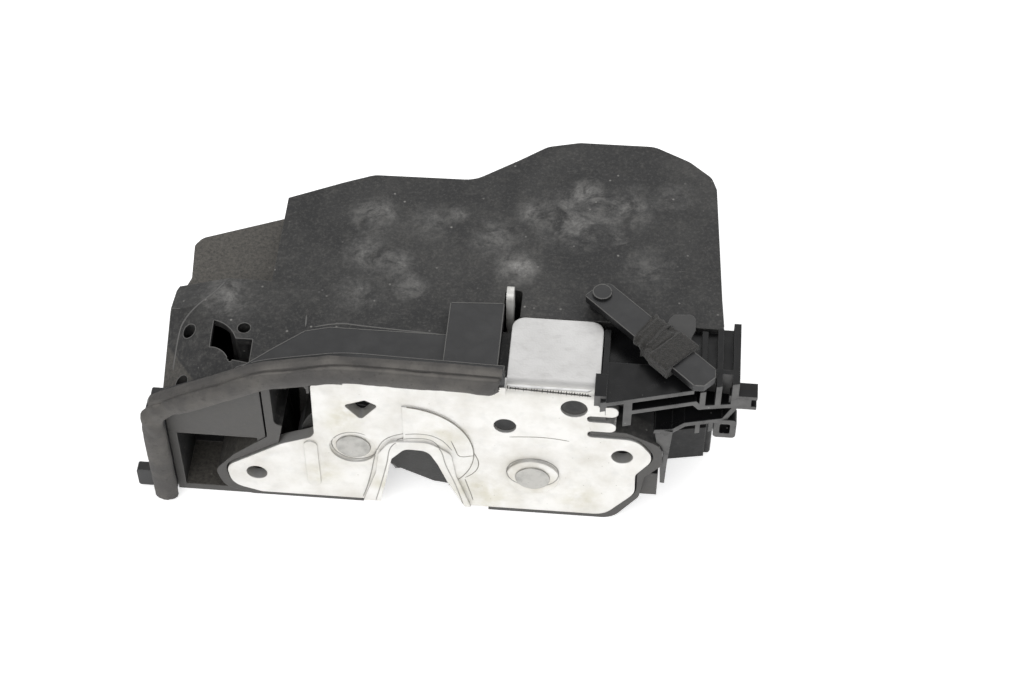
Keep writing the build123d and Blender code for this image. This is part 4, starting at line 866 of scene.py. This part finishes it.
def bead_depth(place, normal):
    """The bead keeps a ridge along its upper edge and lies lower elsewhere, dented, with a pinched corner."""
    flank = 0.3 * ramp(normal.dot(BEAD_RIDGE), 0.985, 0.86)
    dents = 0.4 * max(0.0, noise.noise(place / 6.5)) + 0.176 * max(0.0, noise.noise(place / 2.2))
    folds = wave(place.x * 1.1 + place.z * 0.7)
    pinch = 0.35 * ramp((place - BEAD_CORNER).length, 9.0, 4.0) * folds
    end = 1.3 * ramp(place.x, *BEAD_TAPER) * ramp(normal.z, 0.9, -0.2)
    return 0.1 + flank + dents + pinch + end


def bead_lip():
    """Lip along the bead's upper edge that closes it against the moulding behind, with the dents of use."""
    shape = bmesh.new()
    rings = []
    low, high = LIP_ENDS
    count = int((high - low) / LIP_STEP)
    for number in range(count + 1):
        x = low + (high - low) * number / count
        hit = surface("face_seal").ray_cast(Vector((x, LIP_Y, RAY_TOP)) * MM, Vector((0, 0, -1)))[0]
        if hit is None:
            continue
        top = hit.z / MM
        broad_dents = 0.35 * max(0.0, noise.noise(Vector((x / 2.7, 3.1, 0))))
        dent = broad_dents + 0.12 * noise.noise(Vector((x / 0.9, 7.0, 0)))
        ends = ramp(x, low, low + 4) * ramp(x, high, high - 2.5)
        rise = min((0.35 - dent) * ends, BEAD_TOP - top)
        section = [(x, y, top + z + share * rise) for y, z, share in LIP_SECTION]
        rings.append([shape.verts.new(Vector(corner) * MM) for corner in section])
    join_rings(shape, rings)
    return mesh_of(shape, "bead_lip", crease_degrees=50)


def felt_depth(place, normal):
    """Felt wound in two turns: the outer one ends in a step, the inner one is creased."""
    along = (place - FELT_START).dot(FELT_ALONG)
    across = (place - FELT_START).dot(FELT_ACROSS)
    inner = ramp(along, *FELT_INNER)
    creases = 0.22 * wave(along * 2.6 + across * 0.5)
    fibres = 0.14 * (0.5 + 0.5 * noise.noise(place / 0.7))
    flap = 0.12 * ramp(abs(across - 0.5), 1.5, 6.0)
    return 0.08 + inner * (0.42 + creases) + fibres + flap * (1 - inner)


def felt_strip():
    """Loose end of the felt, creased round the strap above the main wrap."""
    shape = bmesh.new()
    rings = []
    steps, sides = 14, 20
    for number in range(steps + 1):
        along = number / steps
        crease = 0.32 * math.sin(along * 15.0)
        near, far = STRIP_NEAR[0].lerp(STRIP_NEAR[1], along), STRIP_FAR[0].lerp(STRIP_FAR[1], along)
        across = (far - near).normalized()
        ring = []
        for turn in range(sides):
            angle = math.tau * turn / sides
            reach = abs(math.cos(angle)) ** 0.35 * math.copysign(1, math.cos(angle))
            lift = abs(math.sin(angle)) ** 0.5 * math.copysign(1, math.sin(angle))
            middle = (near + far) / 2 + across * reach * ((far - near).length / 2 + crease * 0.6)
            rough = 0.12 * noise.noise(Vector((middle.x, middle.y, turn)) * 1.3)
            ripple = crease * math.sin(angle * 3 + along * 4) * 0.8
            height = STRIP_LEVEL + lift * (1.45 + ripple + rough)
            ring.append(shape.verts.new(Vector((middle.x, middle.y, height)) * MM))
        rings.append(ring)
    join_rings(shape, rings)
    return mesh_of(shape, "felt_strip", crease_degrees=60)


def on_step(face):
    """Whether a face of the lid lies in the plane of its step."""
    return all(abs(point.co.y / MM - STEP_Y) < PLANE_SLACK for point in face.verts)


def lid_mesh():
    """The lid without the sliver over its left facet, with thick step walls and the pit closed."""
    shape = copy_of("housing_cover")
    slope = (FACET_HIGH - FACET_LOW).normalized()
    above = Vector((-slope.z, 0, slope.x))
    sliver = [face for face in shape.faces
              if on_step(face) and min(point.co.x / MM for point in face.verts) < SLIVER_LEFT]
    edges = [edge for face in sliver for edge in face.edges]
    points = [point for face in sliver for point in face.verts]
    parts = list(dict.fromkeys([*sliver, *edges, *points]))
    bmesh.ops.bisect_plane(shape, geom=parts, plane_co=FACET_LOW * MM, plane_no=above, dist=CUT_SLACK * MM)
    middles = {face: face.calc_center_median() / MM for face in shape.faces if on_step(face)}
    extra = [face for face, middle in middles.items()
             if (middle - FACET_LOW).dot(above) > MERGE_DISTANCE and middle.x < FACET_HIGH.x]
    bmesh.ops.delete(shape, geom=extra, context="FACES")
    loose = [point for point in shape.verts if not point.link_faces]
    bmesh.ops.delete(shape, geom=loose, context="VERTS")
    for outline, low, high, axis in LID_FILLINGS:
        add_prism(shape, outline, low, high, axis)
    return mesh_of(shape, "lid", crease_degrees=12)


def crimp_mesh():
    """Dark marks side by side along the fold of the tab, over a dark line."""
    shape = bmesh.new()
    pitch = sizes().crimp_pitch / MM
    low, high = CRIMP_ENDS
    for number in range(int((high - low) / pitch)):
        x = low + number * pitch
        tall = 0.4 + 0.2 * noise.noise(Vector((x * 1.7, 0.0, 0.0)))
        z = CRIMP_LEVEL - (x - low) * 0.03
        mark = laid(((x, z - tall), (x + 0.1, z + tall * 0.6)), "front", "face_plate", step=0.4)
        add_line(shape, mark, pitch * 0.7, 0.03)
    add_line(shape, laid(CRIMP_LINE, "front", "face_plate"), 0.55, 0.04)
    return mesh_of(shape, "plate_crimp")


def relief_rim(first, second, normals):
    """Test for wear_and_painted_light_edges: the round rim of the plate's relief."""
    reach = (Vector(((first.x + second.x) / 2, (first.z + second.z) / 2)) - RELIEF_MIDDLE).length
    on_rim = RELIEF_BAND[0] < reach < RELIEF_BAND[1] and min(first.x, second.x) > RELIEF_LEFT
    return on_rim and max(first.y, second.y) < RELIEF_FRONT


def left_deck_front(first, second, normals):
    """Test for wear_and_painted_light_edges: the upper edges of the lid's left deck."""
    middle = (first + second) / 2
    on_deck = middle.z > DECK_LEVEL and middle.y < DECK_BACK and max(first.x, second.x) < DECK_RIGHT
    return on_deck and max(normal.z for normal in normals) > 0.6


class LATCH_OT_plate(bpy.types.Operator):
    """Finish the face plate and its scribed lines"""

    bl_idname = "latch.plate"
    bl_label = "Face plate"

    def execute(self, context):
        dress("face_plate", "back_plate")
        width, height = sizes().scribe_width / MM, sizes().scribe_height / MM
        add_lines("plate_scribes", SCRIBED, "front", "face_plate", (width, height), "zinc_plate", "scribe_and_step_shade")
        # Painted shade along the rim of the plate's relief
        edge = wear_and_painted_light_edges("face_plate", relief_rim, radius=0.14)
        add_piece("plate_relief_edge_shade", edge, "zinc_plate", finish="scribe_and_step_shade")
        # Painted shade along the steps of the raised rim and round the rivets
        rims = [*RIM_LINES, *(circle(*ring) for ring in RIM_RINGS)]
        add_lines("plate_rims", rims, "front", "face_plate", (width * 1.2, height), "zinc_plate", "rim_step_shade")
        # Painted highlight on the fold of the tab
        add_lines("fold_shine", [FOLD_SHINE], "top", "face_plate", (1.4, 0.02), "zinc_plate", "fold_shine")
        add_piece("plate_crimp", crimp_mesh(), "zinc_plate", finish="crimp_dark")
        return {"FINISHED"}


class LATCH_OT_catch(bpy.types.Operator):
    """Finish the catch, the pawl, their pivots and springs"""

    bl_idname = "latch.catch"
    bl_label = "Catch and pawl"

    def execute(self, context):
        dress("claw", "claw_jacket", "pawl", "claw_pivot", "pawl_pivot", "claw_spring", "pawl_spring")
        block = press_in(remeshed("striker_buffer", voxel=0.4), buffer_depth)
        piece = add_piece("buffer_block", block, "buffer_rubber")
        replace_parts(piece, "striker_buffer")
        return {"FINISHED"}


class LATCH_OT_casing(bpy.types.Operator):
    """Finish the casing shells, the carrier and the screws"""

    bl_idname = "latch.casing"
    bl_label = "Casing"

    def execute(self, context):
        dress("latch_carrier", "housing_cover", "housing_base", "cover_screws", "side_bracket")
        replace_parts(add_piece("lid", lid_mesh(), "charcoal_plastic"), "housing_cover")
        # Rubbed wear and painted highlight along the left deck's edges and on the pale ridges of the lid
        edges = wear_and_painted_light_edges("housing_cover", left_deck_front)
        add_piece("lid_edge_wear_and_highlight", edges, "charcoal_plastic", finish="rubbed_edge_and_highlight")
        section = (0.5, 0.06)
        add_lines("lid_marks", LID_MARKS, "top", "housing_cover", section, "charcoal_plastic", "rubbed_edge_and_highlight")
        return {"FINISHED"}


class LATCH_OT_seal(bpy.types.Operator):
    """Finish the bead seal and the moulding that holds it"""

    bl_idname = "latch.seal"
    bl_label = "Seal"

    def execute(self, context):
        dress("seal_carrier")
        skin = press_in(remeshed("face_seal", voxel=0.6), bead_depth)
        bead = add_piece("seal_bead", skin, "seal_rubber")
        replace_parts(bead, "face_seal")
        add_piece("bead_lip", bead_lip(), "seal_rubber")
        # Rubbed wear and painted highlight along the flap's upper edges
        edges = wear_and_painted_light_edges("seal_carrier", upper_edges(28.0, 0.5), radius=0.16)
        add_piece("flap_edge_wear_and_highlight", edges, "black_plastic", finish="rubbed_edge_and_highlight")
        return {"FINISHED"}


class LATCH_OT_levers(bpy.types.Operator):
    """Finish the strap, its felt and the release lever"""

    bl_idname = "latch.levers"
    bl_label = "Levers"

    def execute(self, context):
        dress("strap_lever", "strap_pin", "release_pin")
        dress("release_lever", finish="pale_steel")
        wrap = press_in(remeshed("felt_sleeve", voxel=0.35), felt_depth)
        felt = add_piece("felt_wrap", wrap, "felt", "strap")
        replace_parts(felt, "felt_sleeve")
        add_piece("felt_strip", felt_strip(), "felt", "strap")
        # Rubbed wear and painted highlight along the strap's upper edges
        edges = wear_and_painted_light_edges("strap_lever", upper_edges(34.0, 0.8), radius=0.12)
        add_piece("strap_edge_wear_and_highlight", edges, "black_plastic", "strap", "rubbed_edge_and_highlight")
        tab = bmesh.new()
        add_prism(tab, FILM_TAB, *FILM_LEVELS, "Z")
        add_piece("strap_film_tab", mesh_of(tab, "film_tab"), "black_plastic", "strap", "film")
        # Painted highlight: a pale ring round the strap's pin
        middle = centre_of("strap_pin") / MM
        ring = laid(circle(middle, PIN_RING_RADIUS), "top", "strap_pin", step=0.3)
        ring = line_mesh("pin_ring_highlight", [ring], 0.35, 0.05)
        add_piece("pin_ring_highlight", ring, "black_plastic", finish="rubbed_edge_and_highlight")
        return {"FINISHED"}


class LATCH_OT_drive(bpy.types.Operator):
    """Finish the motor, the gears, the switches and the connector"""

    bl_idname = "latch.drive"
    bl_label = "Drive"

    def execute(self, context):
        dress("lock_motor", "motor_worm", "worm_wheel", "wheel_axle", "lock_lever", "lock_lever_axle",
              "microswitches", "terminal_carrier", "connector_socket", "connector_pins")
        return {"FINISHED"}


def studio_floor():
    """Pale floor under the object."""
    low = CAD_BOX[0].z
    mesh = bpy.data.meshes.new("floor")
    corners = [(x * FLOOR_HALF, y * FLOOR_HALF, low) for x, y in ((-1, -1), (1, -1), (1, 1), (-1, 1))]
    mesh.from_pydata(corners, [], [(0, 1, 2, 3)])
    floor = bpy.data.objects.new("floor", mesh)
    bpy.context.scene.collection.objects.link(floor)
    finish = Finish("studio_floor", colours().floor, 0.9, rounded=False)
    finish.shader.inputs["Emission Color"].default_value = (1, 1, 1, 1)
    finish.shader.inputs["Emission Strength"].default_value = FLOOR_GLOW
    mesh.materials.append(finish.done())


def soft_lights():
    """Large square lamps and an even white surround."""
    for name, place, size, power in LIGHTS:
        lamp = bpy.data.lights.new(name, "AREA")
        lamp.size = size
        lamp.energy = power
        holder = bpy.data.objects.new(name, lamp)
        holder.location = place
        holder.rotation_euler = (CAMERA_AIM - Vector(place)).to_track_quat("-Z", "Y").to_euler()
        bpy.context.scene.collection.objects.link(holder)
    world = bpy.data.worlds.new("studio")
    world.use_nodes = True
    background = world.node_tree.nodes["Background"]
    background.inputs["Color"].default_value = (1, 1, 1, 1)
    background.inputs["Strength"].default_value = SURROUND_GLOW
    bpy.context.scene.world = world


class LATCH_OT_stage(bpy.types.Operator):
    """Set the floor, the lights and the camera"""

    bl_idname = "latch.stage"
    bl_label = "Stage"

    def execute(self, context):
        camera = bpy.data.objects.new("camera", bpy.data.cameras.new("camera"))
        camera.data.lens = sizes().camera_lens
        camera.data.sensor_width = SENSOR_WIDTH
        camera.data.clip_start = 0.01
        camera.location = CAMERA_PLACE
        camera.rotation_euler = (CAMERA_AIM - CAMERA_PLACE).to_track_quat("-Z", "Y").to_euler()
        context.scene.collection.objects.link(camera)
        context.scene.camera = camera
        context.scene.view_settings.view_transform = "Standard"
        studio_floor()
        soft_lights()
        return {"FINISHED"}


class LATCH_PT_panel(bpy.types.Panel):
    """Sidebar panel that lists the latch's pieces"""

    bl_idname = "LATCH_PT_panel"
    bl_label = "Door latch actuator"
    bl_space_type = "VIEW_3D"
    bl_region_type = "UI"
    bl_category = "Latch"

    def draw(self, context):
        for step in STEPS:
            self.layout.operator(step.bl_idname)
        for group in (context.scene.latch_colours, context.scene.latch_sizes):
            for key in group.bl_rna.properties.keys():
                if key not in ("name", "rna_type"):
                    self.layout.prop(group, key)


STEPS = (
    LATCH_OT_plate, LATCH_OT_catch, LATCH_OT_casing, LATCH_OT_seal, LATCH_OT_levers, LATCH_OT_drive,
    LATCH_OT_stage,
)
CLASSES = (LatchColours, LatchSizes, *STEPS, LATCH_PT_panel)


def register():
    """Register the classes and the two groups of settings."""
    for each in CLASSES:
        bpy.utils.register_class(each)
    bpy.types.Scene.latch_colours = bpy.props.PointerProperty(type=LatchColours)
    bpy.types.Scene.latch_sizes = bpy.props.PointerProperty(type=LatchSizes)


def unregister():
    """Take the classes and the settings away again."""
    del bpy.types.Scene.latch_colours
    del bpy.types.Scene.latch_sizes
    for each in reversed(CLASSES):
        bpy.utils.unregister_class(each)


def main():
    """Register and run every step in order."""
    register()
    for step in STEPS:
        space, name = step.bl_idname.split(".")
        getattr(getattr(bpy.ops, space), name)()


if __name__ == "__main__":
    main()
